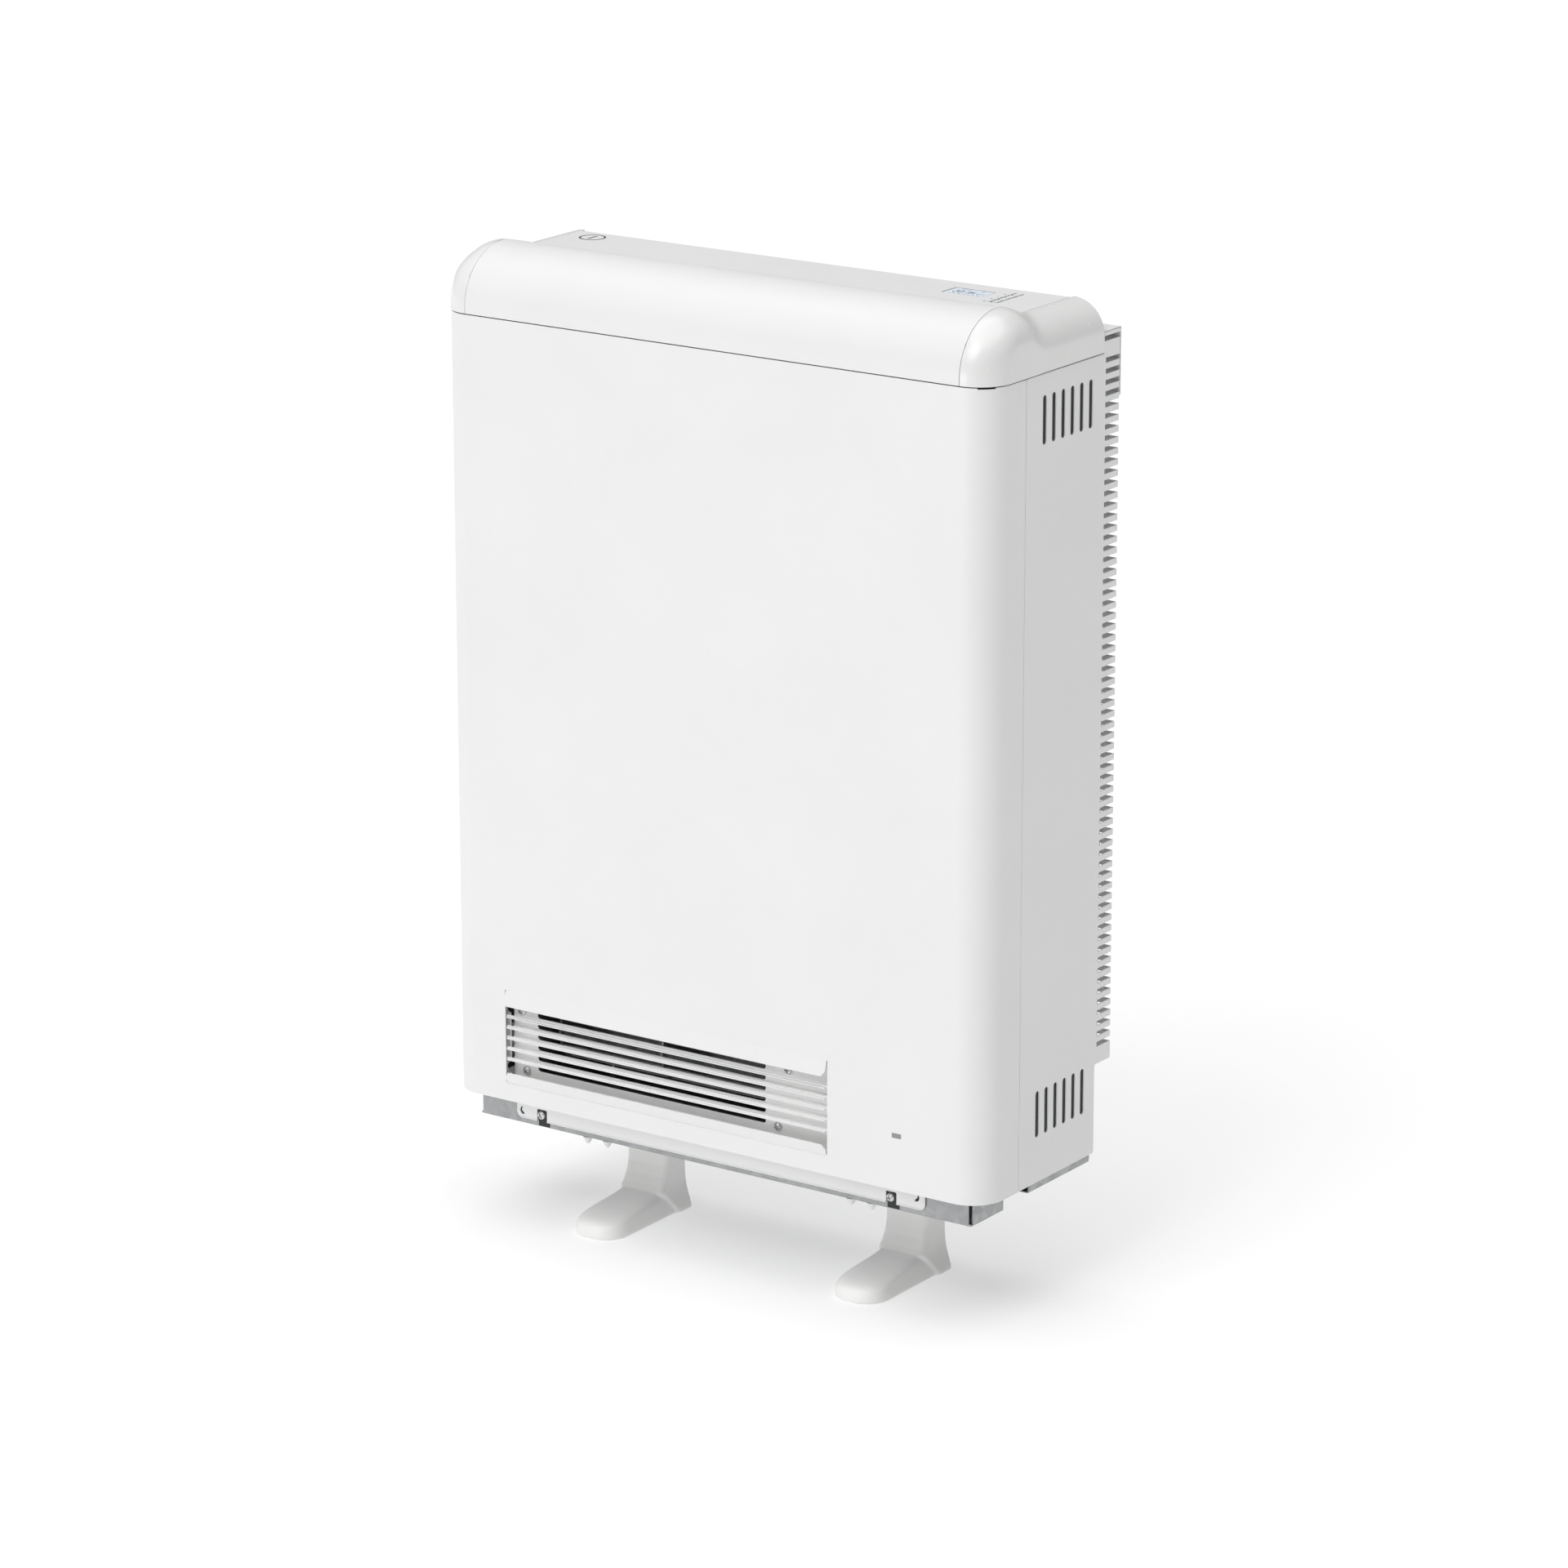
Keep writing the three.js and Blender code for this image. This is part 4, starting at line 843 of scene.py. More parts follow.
def fixing_strip():
    z0, z1, x0, x1 = 5.6, 31.0, -206.0, 202.0
    out = [(x0, z1)]
    out += [(x0, z0 + 4.2), (x0 + 1.3, z0 + 1.3), (x0 + 4.2, z0)]
    for x, z in FIX_SCREWS:
        out += [(x - 3.9, z0), (x - 3.9, z + 4.6), (x - 3.2, z + 5.3), (x + 5.5, z + 5.3), (x + 6.2, z + 4.6), (x + 6.2, z0)]
    out += [(x1 - 4.2, z0), (x1 - 1.3, z0 + 1.3), (x1, z0 + 4.2), (x1, z1)]
    holes = []
    for cx, cz, s in ((-199.5, 11.9, 1), (193.3, 15.4, -1)):
        arc = [(cx + s * 3.3 * math.cos(a), cz + 3.5 * math.sin(a)) for a in np.linspace(PI * 0.62, PI * 1.6, 12)]
        arc += [(cx + s * (0.5 + 1.9 * math.cos(a)), cz + 0.9 + 2.3 * math.sin(a)) for a in np.linspace(PI * 1.5, PI * 0.7, 9)]
        holes.append([(float(p[0]), float(p[1])) for p in arc])
    holes.append(rect(199.4, 200.2, 22.0, 26.5, 0.3, 2))
    g = Geo()
    folded(g, out, holes, [], lambda x, z: ((x, 13.7, z), (0.0, -1.0, 0.0)), 1.2, 0.2)
    sheet_piece("front_fixing_strip_sheet", g, "white_enamel", stands_for=("front_fixing_strip",))
    g = Geo()
    # folded-back lower hem that catches the light
    for a, b in ((x0 + 4.6, FIX_SCREWS[0][0] - 4.1), (FIX_SCREWS[0][0] + 6.4, FIX_SCREWS[1][0] - 4.1), (FIX_SCREWS[1][0] + 6.4, x1 - 4.6)):
        g.prism(fillet([(13.0, z0), (13.0, z0 + 0.4), (13.8, z0 + 1.5), (13.9, z0 + 1.3), (13.9, z0)], [0.1, 0.15, 0.1, 0, 0], 2), a, b, "x")
    piece("front_fixing_strip_hem", g, "white_enamel", bevel=0)
    # black patches behind the two crescent holes: painted shade, so the holes read dark
    g = Geo()
    for cx, cz in ((-199.5, 11.9), (193.3, 15.4)):
        g.prism(rect(cx - 5.0, cx + 5.0, cz - 4.6, cz + 5.0, 0.8, 3), 14.95, 15.28, "y")
    piece("front_strip_hole_shade", g, "black_moulding", bevel=0.05)
    for i, (x, z) in enumerate(FIX_SCREWS):
        # black spring clip that the screw bites into: a front leg in the notch and a tail behind the tray wall
        c = Geo()
        c.prism(fillet([(x - 4.8, 7.3), (x + 7.4, 7.3), (x + 7.4, z + 6.0), (x - 4.8, z + 6.0)], 0.4, 3), 14.95, 15.28, "y")
        c.prism([(15.75, 0.9), (16.9, 1.9), (17.4, 1.9), (17.4, 7.0), (15.45, 7.0), (15.45, 1.4)], x - 3.1, x + 8.0, "x")
        c.prism(fillet([(x - 6.0, 1.7), (x + 10.5, 1.7), (x + 10.5, z + 8.0), (x - 6.0, z + 8.0)], 1.0, 3), 16.95, 17.8, "y")
        piece("fixing_clip_%s" % ("right" if i else "left"), c, "black_moulding", bevel=0.08)


# ------------------------------------------------------------------ screws
def pan_screw(name, node, x, y, z, r, h, shank, length, turn):
    """Pan head with a cross recess, head towards the front."""
    arm, half = r * 0.64, r * 0.15
    ca, sa = math.cos(turn), math.sin(turn)
    cross = [(arm, -half * 0.8), (arm, half * 0.8), (half * 1.25, half * 1.25), (half * 0.8, arm), (-half * 0.8, arm), (-half * 1.25, half * 1.25),
             (-arm, half * 0.8), (-arm, -half * 0.8), (-half * 1.25, -half * 1.25), (-half * 0.8, -arm), (half * 0.8, -arm), (half * 1.25, -half * 1.25)]
    cross = fillet(cross, 0.12, 2)
    cross = [(p[0] * ca - p[1] * sa, p[0] * sa + p[1] * ca) for p in cross]
    rings = [circle(0, 0, r * k, 44) for k in (0.70, 0.8, 0.88, 0.94, 0.98)]
    lines = [(q[i], q[(i + 1) % len(q)]) for q in rings for i in range(len(q))]
    outline = circle(0, 0, r, 44)
    pts, tris = mesh2d(outline, [cross], lines)

    def dome(px, pz):
        q = min(1.0, math.hypot(px, pz) / r)
        return h * 0.92 * (1 - max(0.0, 1 - q ** 2.6) ** 0.5)

    v = [(x + p[0], y + dome(p[0], p[1]), z + p[1]) for p in pts]
    f = [tuple(int(i) for i in t) for t in tris]
    g = Geo()
    g.add(v, f)
    k = len(cross)
    top = [(x + p[0], y + dome(p[0], p[1]), z + p[1]) for p in cross]
    low = [(x + p[0] * 0.82, y + 2.2, z + p[1] * 0.82) for p in cross]
    g.add(top + low + [(x, y + 2.3, z)], [(i, (i + 1) % k, k + (i + 1) % k, k + i) for i in range(k)] + [(k + i, k + (i + 1) % k, 2 * k) for i in range(k)])
    g.lathe([(r, h * 0.92), (r, h), (shank * 1.25, h), (shank, h + 0.4), (shank, h + length - 0.8), (shank * 0.5, h + length), (0, h + length)], (x, y, z), "y", 44)
    piece(name, g, "screw_steel", stands_for=(node,), bevel=0.06, seg=1, angle=50, merge=0.01)


# ------------------------------------------------------------------ outlet grille and plate
def outlet():
    g = Geo()
    z0, z1 = 42.0, 112.0
    left = [(-216, z0), (-206.0, z0), (-206.0, 45.2)]
    for c in (50.6, 103.4):
        hi = min(z1, c + 5.2)
        arc = [(-205.3 + 5.2 * math.cos(a), c + 5.2 * math.sin(a)) for a in np.linspace(-PI / 2 - 0.12, -3 * PI / 2 + 0.12, 16)]
        left += [(float(p[0]), float(p[1])) for p in arc]
    left += [(-206.0, 108.9), (-206.0, z1), (-216, z1)]
    flat = lambda y: (lambda x, z: ((x, y, z), (0.0, -1.0, 0.0)))
    folded(g, left, [], [], flat(6.5), 1.3)
    folded(g, rect(118, 124, z0, z1, 0.5, 2), [], [], flat(6.5), 1.3)
    sheet_piece("outlet_grille_margins", g, "white_enamel")
    g = Geo()
    for k in range(5):
        b = BAR_TOP_Z - k * BAR_PITCH
        upright = fillet([(2.0, b + 0.7), (3.2, b + 0.7), (3.2, b + 2.7), (2.0, b + 2.7)], [0.1, 0.1, 0.45, 0.45], 3)
        g.prism(upright, -216, 124, "x")
        hem = fillet([(0.8, b + 0.1), (1.7, b), (3.2, b + 0.85), (3.2, b + 1.5), (2.0, b + 1.5), (0.8, b + 0.95)], [0.3, 0.3, 0.1, 0.1, 0.3, 0.3], 3)
        g.prism(hem, -206.2, 113.8, "x")
        for a, c in ((-216, -212), (119, 123.5)):
            g.box(a, c, 2.2, 7.6, b + 0.7, b + 2.7)
    piece("outlet_grille_bars", g, "white_enamel", stands_for=("outlet_grille",), bevel=0.12, angle=48)

    # plate with six long slots, a low rounded rib pressed out under each of the middle four
    pts = [(37.0, PLATE_Y)]
    for k in range(4, 0, -1):
        b = SLOT_TOP_Z - k * BAR_PITCH
        for i in range(9):
            u = i / 8
            pts.append((b - 2.6 + 2.5 * u, PLATE_Y - 1.0 * math.sin(PI * u) ** 0.8))
    pts.append((113.0, PLATE_Y))
    sec = []
    for i, (z, y) in enumerate(pts):
        a, b = pts[max(0, i - 1)], pts[min(len(pts) - 1, i + 1)]
        dz, dy = b[0] - a[0], b[1] - a[1]
        m = math.hypot(dz, dy)
        sec.append((y, z, -dz / m, dy / m))
    pr = Profile(sec)
    sz = lambda z: pr.where(1, z)
    holes = []
    for k in range(6):
        b = SLOT_TOP_Z - k * BAR_PITCH
        holes.append(rect(SLOT_X0, SLOT_X1, sz(b), sz(b + 5.0), 2.4, 6))
    for x, z in PLATE_SCREWS:
        holes.append(circle(x, sz(z), 2.3, 16))
    end = float(pr.s[-1])
    lines = [((-206.1, s), (122.0, s)) for s in (float(q) for q in pr.s[1:-1])]

    def place(x, s):
        y, z, ny, nz = pr.at(s)
        return (x, y, z), (0.0, ny, nz)

    g = Geo()
    folded(g, rect(-206.1, 122.0, 0.0, end, 0.8, 3), holes, lines, place, 1.0, 0.2)
    sheet_piece("outlet_plate_sheet", g, "plate_enamel_painted_light", stands_for=("outlet_plate",))
    for i, (x, z) in enumerate(PLATE_SCREWS):
        pan_screw("outlet_pan_screw_%d" % (i + 1), "outlet_screw_%d" % (i + 1), x, PLATE_Y - 2.6, z, 3.9, 2.3, 1.9, 6.0, (0.35, 0.9, 0.15, 0.5)[i])
    for i, (x, z) in enumerate(FIX_SCREWS):
        side = "right" if i else "left"
        pan_screw("fixing_pan_screw_" + side, "fixing_screw_" + side, x, 12.6, z, 3.7, 2.4, 1.9, 4.4, (0.7, 0.25)[i])


# ------------------------------------------------------------------ feet
TOE = [(-87, 23.4, 12, 20, 20), (-85.5, 24, 11.6, 20.5, 20.5), (-82, 23.8, 11.8, 20, 20), (-78, 23.2, 12.8, 19.5, 19), (-75.5, 22.7, 15, 18.5, 20),
       (-73.6, 22.2, 19, 17, 24), (-72.3, 21.8, 25, 14, 30), (-71, 21.3, 36, 10, 38), (-69.9, 20.8, 50, 9, 36), (-68.6, 20.4, 64, 8, 30),
       (-67.2, 20, 77, 7, 22), (-65.8, 19.4, 84, 6, 16)]
NECK = [(-87, 25.8, 102.6, 122.6), (-85.8, 26.6, 101.4, 123.2), (-80, 25.6, 96.3, 122.8), (-73, 24, 90, 121.8), (-66, 22.6, 83.8, 121.1),
        (-61.5, 22.1, 87.6, 120.9), (-54, 21.7, 91.4, 120.7), (-45, 21.5, 93.5, 120.5), (-36, 21.5, 94, 120.4), (-0.4, 21.5, 94, 120.4)]


def boot_ring(w, f, b, rf, df, rb, n=14):
    q = lambda i, m: i / m * PI / 2
    p = [(-w + rf - rf * math.cos(q(i, n)), f + df - df * math.sin(q(i, n))) for i in range(n + 1)]
    p += [(w - rf + rf * math.cos(q(i, n)), f + df - df * math.sin(q(i, n))) for i in range(n, -1, -1)]
    p += [(w - rb + rb * math.cos(q(i, 3)), b - rb + rb * math.sin(q(i, 3))) for i in range(4)]
    p += [(-w + rb - rb * math.cos(q(i, 3)), b - rb + rb * math.sin(q(i, 3))) for i in range(3, -1, -1)]
    return p


def stack(g, table, ring, steps, dx):
    t = np.array(table, float)
    z = np.unique(np.concatenate([t[:, 0], np.linspace(t[0, 0], t[-1, 0], steps)]))
    rows = [(float(q), ring([float(np.interp(q, t[:, 0], t[:, k])) for k in range(1, t.shape[1])])) for q in z]
    n = len(rows[0][1])
    v = [(p[0] + dx, p[1], q) for q, r in rows for p in r]
    f = [(k * n + i, k * n + (i + 1) % n, (k + 1) * n + (i + 1) % n, (k + 1) * n + i) for k in range(len(rows) - 1) for i in range(n)]
    f += [tuple(range(n))[::-1], tuple(range((len(rows) - 1) * n, len(rows) * n))]
    g.add(v, f)


def foot(side, dx):
    g = Geo()
    stack(g, TOE, lambda p: boot_ring(p[0], p[1], 104.0, p[2], p[3], 2.0), 40, dx)
    stack(g, NECK, lambda p: boot_ring(p[0], p[1], p[2], 6.0, 6.0, 1.6), 60, dx)

    def cast(ob):
        m = ob.modifiers.new("one", "REMESH")
        m.mode = "VOXEL"
        m.voxel_size = 0.0009
        m.use_smooth_shade = True
        m = ob.modifiers.new("ease", "SMOOTH")
        m.factor = 0.5
        m.iterations = 5
        bake(ob)
        for vert in ob.data.vertices:
            if vert.co.z < 0.0009:
                vert.co.z = 0.0
            vert.co.z = min(vert.co.z, 0.0866)
        ob.data.materials.clear()
        ob.data.materials.append(M["foot_moulding"])
        for poly in ob.data.polygons:
            poly.use_smooth = True

    piece("foot_boot_" + side, g, "foot_moulding", stands_for=("foot_" + side,), bevel=0, extra=cast, weighted=False)


# ------------------------------------------------------------------ back panel, rail, small parts
def back_panel():
    ribs = [150.0, 300.0, 450.0, 600.0]
    lines = []
    for z in ribs:
        for d in (-9.0, -7.0, -5.0, -2.5, 0.0, 2.5, 5.0, 7.0, 9.0):
            lines.append(((-264.6, z + d), (264.6, z + d)))
    for x in (-222.0, -217.0, -212.0, -206.0, 206.0, 212.0, 217.0, 222.0):
        lines.append(((x, 18.0), (x, 686.0)))

    def place(x, z):
        y = 161.2
        for q in ribs:
            a = max(0.0, 1 - (abs(z - q) / 9.0) ** 2.0)
            e = min(1.0, max(0.0, (222.0 - abs(x)) / 16.0))
            e = e * e * (3 - 2 * e)
            y += 3.2 * a * a * e
        return (x, y, z), (0.0, 1.0, 0.0)

    g = Geo()
    holes = [circle(x, z, 2.1, 14) for x in (-256.0, 256.0) for z in (40.0, 200.0, 360.0, 520.0, 668.0)]
    for z in (82.0, 92.0):
        for i in range(9):
            holes.append(rect(-150 + i * 36.0 - 12.0, -150 + i * 36.0 + 12.0, z - 1.8, z + 1.8, 1.7, 5))
    folded(g, rect(-264.6, 264.6, 18.0, 686.0, 1.0, 3), holes, lines, place, 1.0, 0.2)
    sheet_piece("back_panel_sheet", g, "galvanised", stands_for=("back_panel",))
    g = Geo()
    for s in (-1, 1):
        # wing under the side panel: wall, floor and inner upstand as one bent strip
        o = [(s * 264.6, 52.0), (s * 264.6, 16.4), (s * 250.0, 16.4), (s * 250.0, 24.0), (s * 251.2, 24.0), (s * 251.2, 17.6), (s * 263.4, 17.6), (s * 263.4, 52.0)]
        g.prism(fillet(o, [0.2, 1.6, 1.4, 0.3, 0.3, 0.4, 0.5, 0.2], 4), 70.0, 161.0, "y")
    piece("back_panel_wings", g, "galvanised", bevel=0.2)


def wall_rail():
    r = 1.6
    yb, zt = 190.8, 705.0
    pts = [(yb, 649.5, 1.0, 0.0), (yb, zt - r, 1.0, 0.0)]
    for i in range(1, 6):
        a = i / 5 * PI / 2
        pts.append((yb - r + r * math.cos(a), zt - r + r * math.sin(a), math.cos(a), math.sin(a)))
    pts.append((166.0, zt, 0.0, 1.0))
    pr = Profile(pts)
    end = float(pr.s[-1])
    holes = []
    for x in (-180.0, 0.0, 180.0):
        z = 672.0 - 649.5
        arc = [(z + 5.4 * math.cos(a), x + 5.4 * math.sin(a)) for a in np.linspace(0.503, 2 * PI - 0.503, 22)]
        holes.append([(float(p[0]), float(p[1])) for p in arc] + [(690.0 - 649.5, x - 2.6), (690.0 - 649.5 + 1.8, x), (690.0 - 649.5, x + 2.6)])

    def place(s, x):
        y, z, ny, nz = pr.at(s)
        return (x, y, z), (0.0, ny, nz)

    g = Geo()
    folded(g, [(0, -HALF_W), (end, -HALF_W), (end, HALF_W), (0, HALF_W)], holes, pr.lines(-HALF_W, HALF_W), place, 1.2)
    sheet_piece("wall_rail_sheet", g, "white_enamel", stands_for=("wall_rail",))
    g = Geo()
    for s in (-1, 1):
        g.prism(fillet([(166.0, 700.8), (190.0, 700.8), (190.0, 704.6), (166.0, 704.6)], 0.3, 2), s * (HALF_W - 1.2), s * HALF_W, "x")
    piece("wall_rail_ends", g, "white_enamel", bevel=0.2)


def small_parts():
    for i, (x, y) in enumerate(NUBS):
        g = Geo()
        g.lathe([(0, -6.2), (1.2, -6.1), (1.75, -5.5), (2.4, -4.3), (3.3, -2.6), (4.3, -0.75), (4.4, -0.3), (4.2, -0.05), (1.6, -0.05), (1.6, 2.8),
                 (1.1, 3.5), (0, 3.6)], (x, y, 0), "z", 36)
        piece("tray_nub_%d" % (i + 1), g, "nub_moulding", stands_for=("tray_rivet_%d" % (i + 1),), bevel=0.0)
    g = Geo()
    g.lathe([(0, -10.2), (3.4, -10.3), (4.0, -10.9), (4.6, -11.8), (6.0, -12.0), (7.4, -11.8), (8.0, -10.4), (8.7, -8.8), (9.6, -7.6), (11.2, -6.6),
             (11.5, -6.0), (11.5, -0.8), (11.1, -0.4), (7.9, -0.4), (7.9, 8.6), (7.5, 9.0), (0, 9.0)], (186, 138, 0), "z", 56)
    piece("cable_gland_moulding", g, "black_moulding", stands_for=("cable_gland",), bevel=0.0)

    # display: glass face with a slim bezel and plain clock digits
    g = Geo()
    g.prism(rect(LCD[0] + 0.3, LCD[1] - 0.3, LCD[2] + 0.3, LCD[3] - 0.3, 0.7), 725.0, 729.6, "z")
    piece("display_face", g, "display_glass", stands_for=("lcd_window",), bevel=0.15)
    g = Geo()
    place = lambda z: (lambda x, y: ((x, y, z), (0.0, 0.0, 1.0)))
    folded(g, rect(LCD[0] + 0.35, LCD[1] - 0.35, LCD[2] + 0.35, LCD[3] - 0.35, 0.7), [rect(LCD[0] + 1.0, LCD[1] - 1.0, LCD[2] + 1.0, LCD[3] - 1.0, 0.5)], [],
           place(729.72), 0.14, 0.05)
    sheet_piece("display_bezel", g, "print_grey")
    seg = {"0": "abcdef", "1": "bc", "2": "abged", "5": "afgcd", "3": "abgcd", "8": "abcdefg"}
    bars = {"a": (0, 1, 1, 1), "g": (0, .5, 1, .5), "d": (0, 0, 1, 0), "f": (0, .5, 0, 1), "b": (1, .5, 1, 1), "e": (0, 0, 0, .5), "c": (1, 0, 1, .5)}
    g = Geo()

    def digit(ch, x, y, w, h, t):
        for s in seg[ch]:
            x0, y0, x1, y1 = bars[s]
            ax, ay, bx, by = x + x0 * w, y + y0 * h, x + x1 * w, y + y1 * h
            if abs(ax - bx) > abs(ay - by):
                q = [(ax + t * .3, ay), (ax + t * .8, ay - t / 2), (bx - t * .8, by - t / 2), (bx - t * .3, by), (bx - t * .8, by + t / 2), (ax + t * .8, ay + t / 2)]
            else:
                q = [(ax, ay + t * .3), (ax + t / 2, ay + t * .8), (bx + t / 2, by - t * .8), (bx, by - t * .3), (bx - t / 2, by - t * .8), (ax - t / 2, ay + t * .8)]
            g.prism(q, 729.58, 729.66, "z")

    for ch, x in zip("2035", (148.5, 153.2, 160.0, 164.7)):
        digit(ch, x, 126.5, 3.2, 6.6, 1.0)
    for y in (128.6, 131.2):
        g.prism(circle(158.0, y, 0.45, 10), 729.58, 729.66, "z")
    for ch, x in zip("21", (171.3, 174.4)):
        digit(ch, x, 126.5, 2.0, 4.0, 0.5)
    for i in range(7):
        g.prism(rect(147.2 + i * 4.4, 150.2 + i * 4.4, 122.2, 122.75), 729.58, 729.66, "z")
        if i in (1, 2, 5):
            g.prism(rect(147.2 + i * 4.4, 150.2 + i * 4.4, 137.2, 137.7), 729.58, 729.66, "z")
    piece("display_digits", g, "digit", bevel=0.0, weighted=False)

    # keys: softly dished tops, each on its own body
    n = 0
    for j in range(4):
        for i in range(2):
            n += 1
            x, y = KEY_X0 + i * KEY_PX + 0.3, KEY_Y0 + j * KEY_PY + 0.3
            g = Geo()
            g.prism(rect(x, x + KEY_W, y, y + KEY_D, 0.9, 4), 727.3, 730.15, "z")
            top = rect(x + 0.35, x + KEY_W - 0.35, y + 0.35, y + KEY_D - 0.35, 0.8, 4)
            cx, cy, m = x + KEY_W / 2, y + KEY_D / 2, len(top)
            rows = [[(cx + (p[0] - cx) * k, cy + (p[1] - cy) * k, z) for p in top] for k, z in ((1.0, 730.1), (0.96, 730.5), (0.9, 730.58), (0.7, 730.5), (0.4, 730.38))]
            v = [p for r in rows for p in r] + [(cx, cy, 730.32), (cx, cy, 730.0)]
            f = [(a * m + q, a * m + (q + 1) % m, (a + 1) * m + (q + 1) % m, (a + 1) * m + q) for a in range(4) for q in range(m)]
            f += [(4 * m + q, 4 * m + (q + 1) % m, 5 * m) for q in range(m)] + [((q + 1) % m, q, 5 * m + 1) for q in range(m)]
            g.add(v, f)
            ring = Geo()
            folded(ring, rect(x - 0.68, x + KEY_W + 0.68, y - 0.72, y + KEY_D + 0.72, 1.0, 4), [rect(x - 0.32, x + KEY_W + 0.32, y - 0.32, y + KEY_D + 0.32, 0.75, 4)], [],
                   place(TOP_FLAT + 0.05), 0.1, 0.03)
            sheet_piece("key_outline_%d" % n, ring, "print_dark")
            piece("keypad_key_%d" % n, g, "key_moulding", body="key_%d_body" % n, stands_for=("key_%d" % n,), bevel=0.12)

    # plain printed ring on the flat of the top and a plain bar low on the front
    g = Geo()
    folded(g, circle(-213.0, 141.0, 11.2, 72), [circle(-213.0, 141.0, 9.6, 72)], [], place(TOP_FLAT + 0.06), 0.1, 0.03)
    folded(g, rect(-213.9, -212.1, 134.6, 147.4, 0.3, 2), [], [], place(TOP_FLAT + 0.06), 0.1, 0.03)
    sheet_piece("top_print_ring", g, "print_dark")
    g = Geo()
    g.prism(rect(BAR_C[0] - BAR_C[2], BAR_C[0] + BAR_C[2], BAR_C[1] - BAR_C[3], BAR_C[1] + BAR_C[3], 0.3, 3), -0.12, 0.1, "y")
    piece("front_print_bar", g, "print_grey", bevel=0.0)


BAR_C = (183.5, 69.5, 4.4, 2.0)   # plain bar: centre x, z and half sizes

front_panel()
side_panel(1)
side_panel(-1)
top_cover()
end_cap(1)
end_cap(-1)
base_tray()
fixing_strip()
outlet()
foot("left", -FOOT_X)
foot("right", FOOT_X)
back_panel()
wall_rail()
small_parts()

# ------------------------------------------------------------------ carried-over solids: finishes
slot_of = {
    "fan_housing": "galvanised", "fan_rotor": "galvanised", "fan_motor": "black_moulding", "display_module": "black_moulding",
    "control_board": "circuit_board", "terminal_block": "terminal_ceramic", "thermal_cutout": "black_moulding",
}
for name, ob in nodes.items():
    key = slot_of.get(name)
    if name.startswith("core_brick"):
        key = "storage_brick"
    elif name.startswith("insulation"):
        key = "insulation_board"
    elif name.startswith("heating_element"):
        key = "element_sheath"
    if key:
        if ob.data.materials:
            ob.data.materials[0] = M[key]
        else:
            ob.data.materials.append(M[key])

# ------------------------------------------------------------------ floor, light, camera
me = bpy.data.meshes.new("studio_floor")
S = 40.0
me.from_pydata([(-S, -S, -0.0002), (S, -S, -0.0002), (S, S, -0.0002), (-S, S, -0.0002)], [], [(0, 1, 2, 3)])
floor = bpy.data.objects.new("studio_floor", me)
bpy.context.scene.collection.objects.link(floor)
m, nt, b, co = shader("studio_floor_paint")
nt.links.new(ramp(nt, noise(nt, co, 0.7, 2.0), [(0.3, (0.595, 0.595, 0.595)), (0.7, (0.605, 0.605, 0.605))]), b.inputs["Base Color"])
b.inputs["Emission Color"].default_value = (1.0, 1.0, 1.0, 1)
b.inputs["Emission Strength"].default_value = 0.44
b.inputs["Roughness"].default_value = 1.0
b.inputs["Specular IOR Level"].default_value = 0.0
me.materials.append(m)

world = bpy.data.worlds.new("studio")
bpy.context.scene.world = world
world.use_nodes = True
wt = world.node_tree
wt.nodes.clear()
wo = wt.nodes.new("ShaderNodeOutputWorld")
lit = wt.nodes.new("ShaderNodeBackground")
lit.inputs["Color"].default_value = (1.0, 1.0, 1.0, 1)
lit.inputs["Strength"].default_value = 0.56
seen = wt.nodes.new("ShaderNodeBackground")
seen.inputs["Color"].default_value = (1.0, 1.0, 1.0, 1)
seen.inputs["Strength"].default_value = 1.0
lp = wt.nodes.new("ShaderNodeLightPath")
mx = wt.nodes.new("ShaderNodeMixShader")
wt.links.new(lp.outputs["Is Camera Ray"], mx.inputs[0])
wc = wt.nodes.new("ShaderNodeTexCoord")
wx = wt.nodes.new("ShaderNodeSeparateXYZ")
wt.links.new(wc.outputs["Generated"], wx.inputs[0])
wr = wt.nodes.new("ShaderNodeMapRange")
for key, val in (("From Min", -1.0), ("From Max", 1.0), ("To Min", 0.36), ("To Max", 0.12)):
    wr.inputs[key].default_value = val
wt.links.new(wx.outputs[0], wr.inputs["Value"])
wt.links.new(wr.outputs[0], lit.inputs["Strength"])
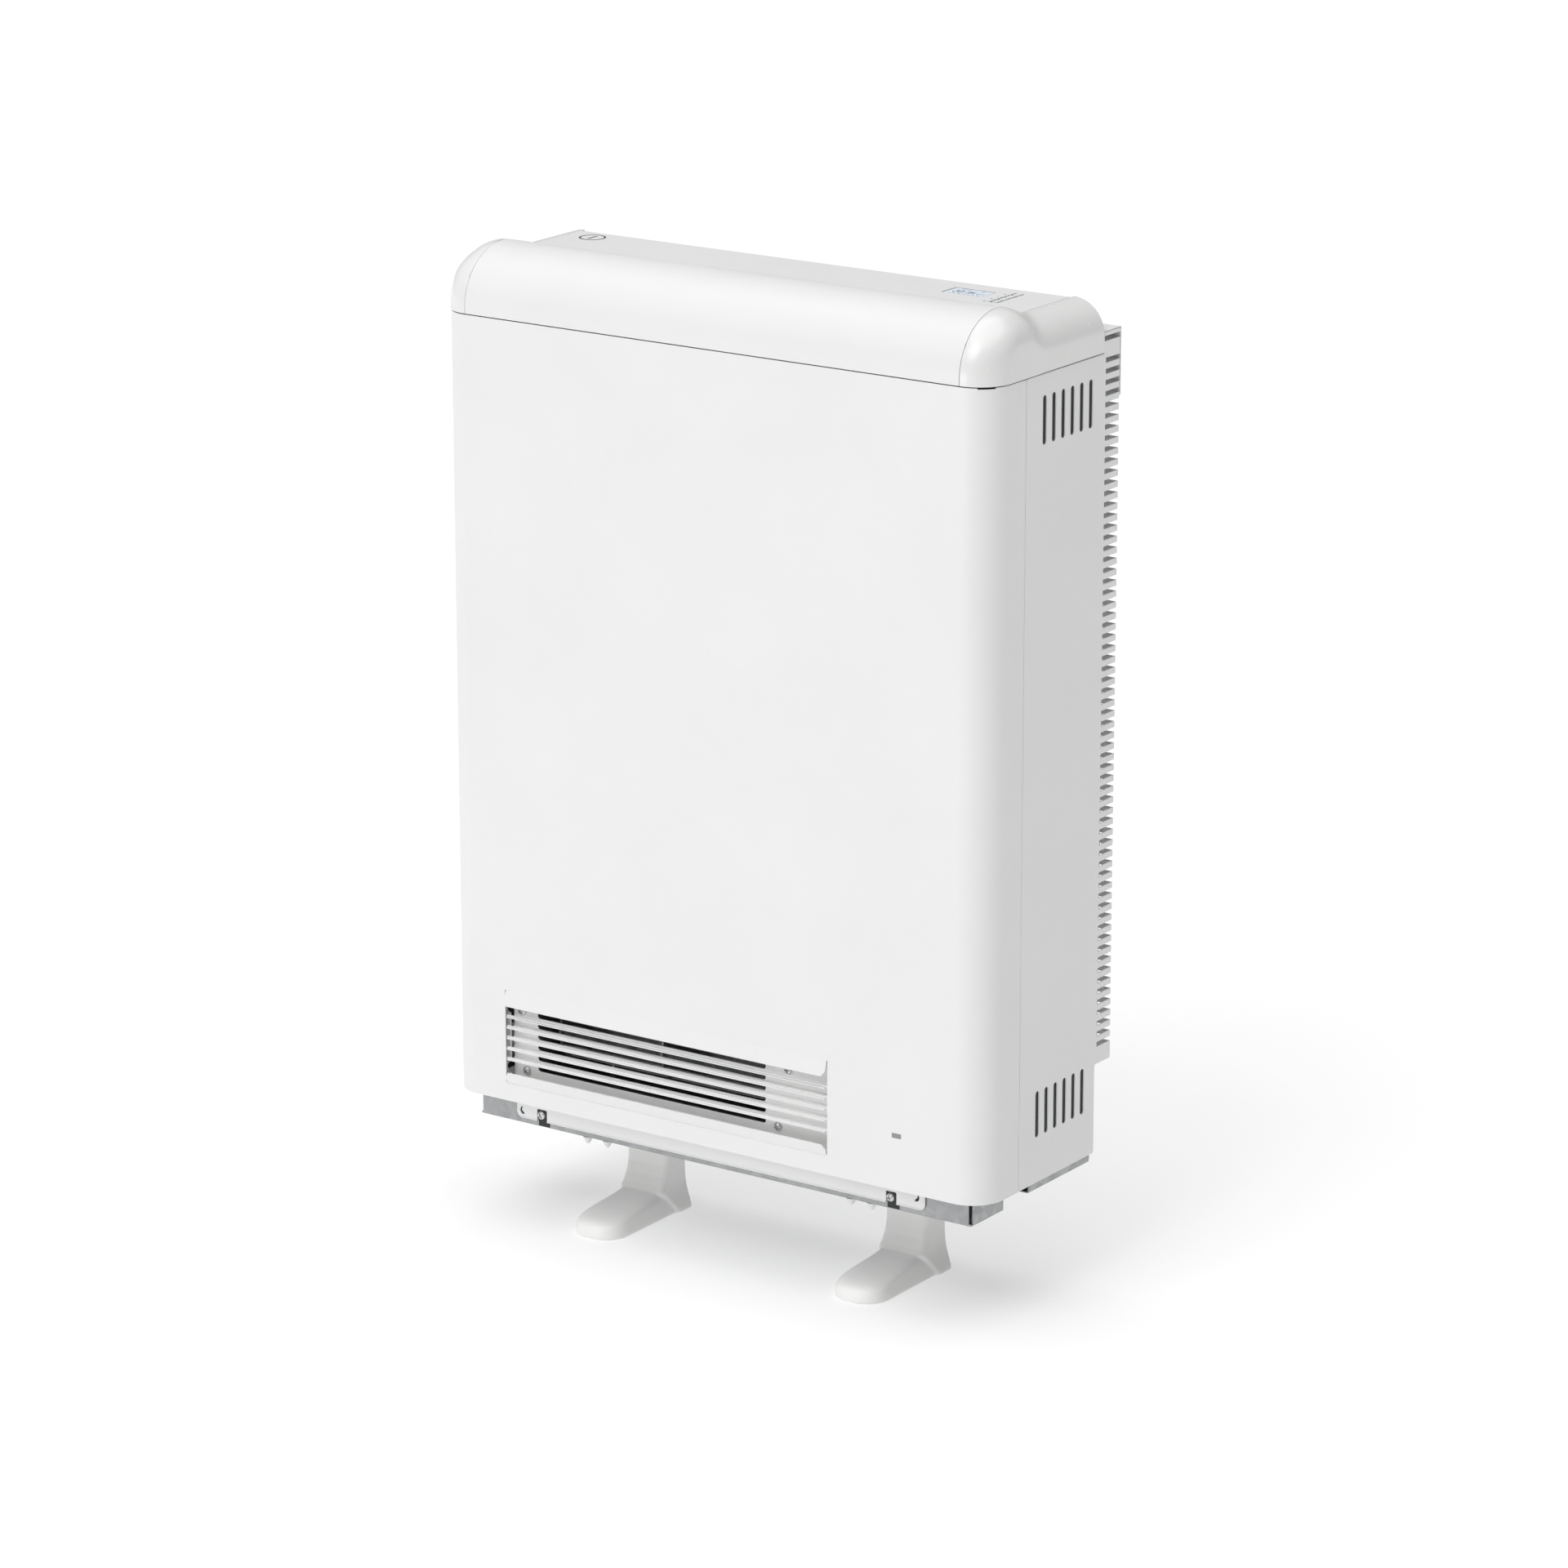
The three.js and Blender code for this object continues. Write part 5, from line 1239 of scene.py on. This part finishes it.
wt.links.new(lit.outputs[0], mx.inputs[1])
wt.links.new(seen.outputs[0], mx.inputs[2])
wt.links.new(mx.outputs[0], wo.inputs[0])


def sun(name, direction, strength, angle):
    d = bpy.data.lights.new(name, "SUN")
    d.energy = strength
    d.angle = math.radians(angle)
    o = bpy.data.objects.new(name, d)
    o.rotation_euler = Vector(direction).to_track_quat("-Z", "Y").to_euler()
    bpy.context.scene.collection.objects.link(o)


def softbox(name, loc, target, size, power, size_y=None):
    d = bpy.data.lights.new(name, "AREA")
    d.shape = "RECTANGLE"
    d.size = size
    d.size_y = size_y or size
    d.energy = power
    o = bpy.data.objects.new(name, d)
    o.location = loc
    o.rotation_euler = (Vector(target) - Vector(loc)).to_track_quat("-Z", "Y").to_euler()
    bpy.context.scene.collection.objects.link(o)


sun("key", (0.06, 0.70, -0.71), 0.96, 34.0)
sun("overhead", (0.0, 0.0, -1.0), 1.85, 66.0)
softbox("front_fill", (-0.9, -3.4, 0.35), (0.0, 0.0, 0.2), 1.4, 12.5, 1.0)

az, el, roll = math.radians(34.630), math.radians(16.203), -0.00089
dist, target = 7.9906, Vector((-1.5818, 2.3053, -0.4161))
fwd = Vector((-math.sin(az) * math.cos(el), math.cos(az) * math.cos(el), -math.sin(el)))
right = Vector((math.cos(az), math.sin(az), 0.0))
up = right.cross(fwd)
right, up = right * math.cos(roll) + up * math.sin(roll), up * math.cos(roll) - right * math.sin(roll)
cam_data = bpy.data.cameras.new("camera")
cam_data.lens = 143.138
cam_data.sensor_width = 36.0
cam_data.sensor_fit = "HORIZONTAL"
cam_data.clip_start = 0.05
cam_data.clip_end = 200.0
cam = bpy.data.objects.new("camera", cam_data)
rot = Matrix((right, up, -fwd)).transposed()
cam.matrix_world = Matrix.Translation(target - fwd * dist) @ rot.to_4x4()
bpy.context.scene.collection.objects.link(cam)
bpy.context.scene.camera = cam
bpy.context.scene.view_settings.view_transform = "Standard"
bpy.context.scene.view_settings.look = "None"

bpy.context.view_layer.update()
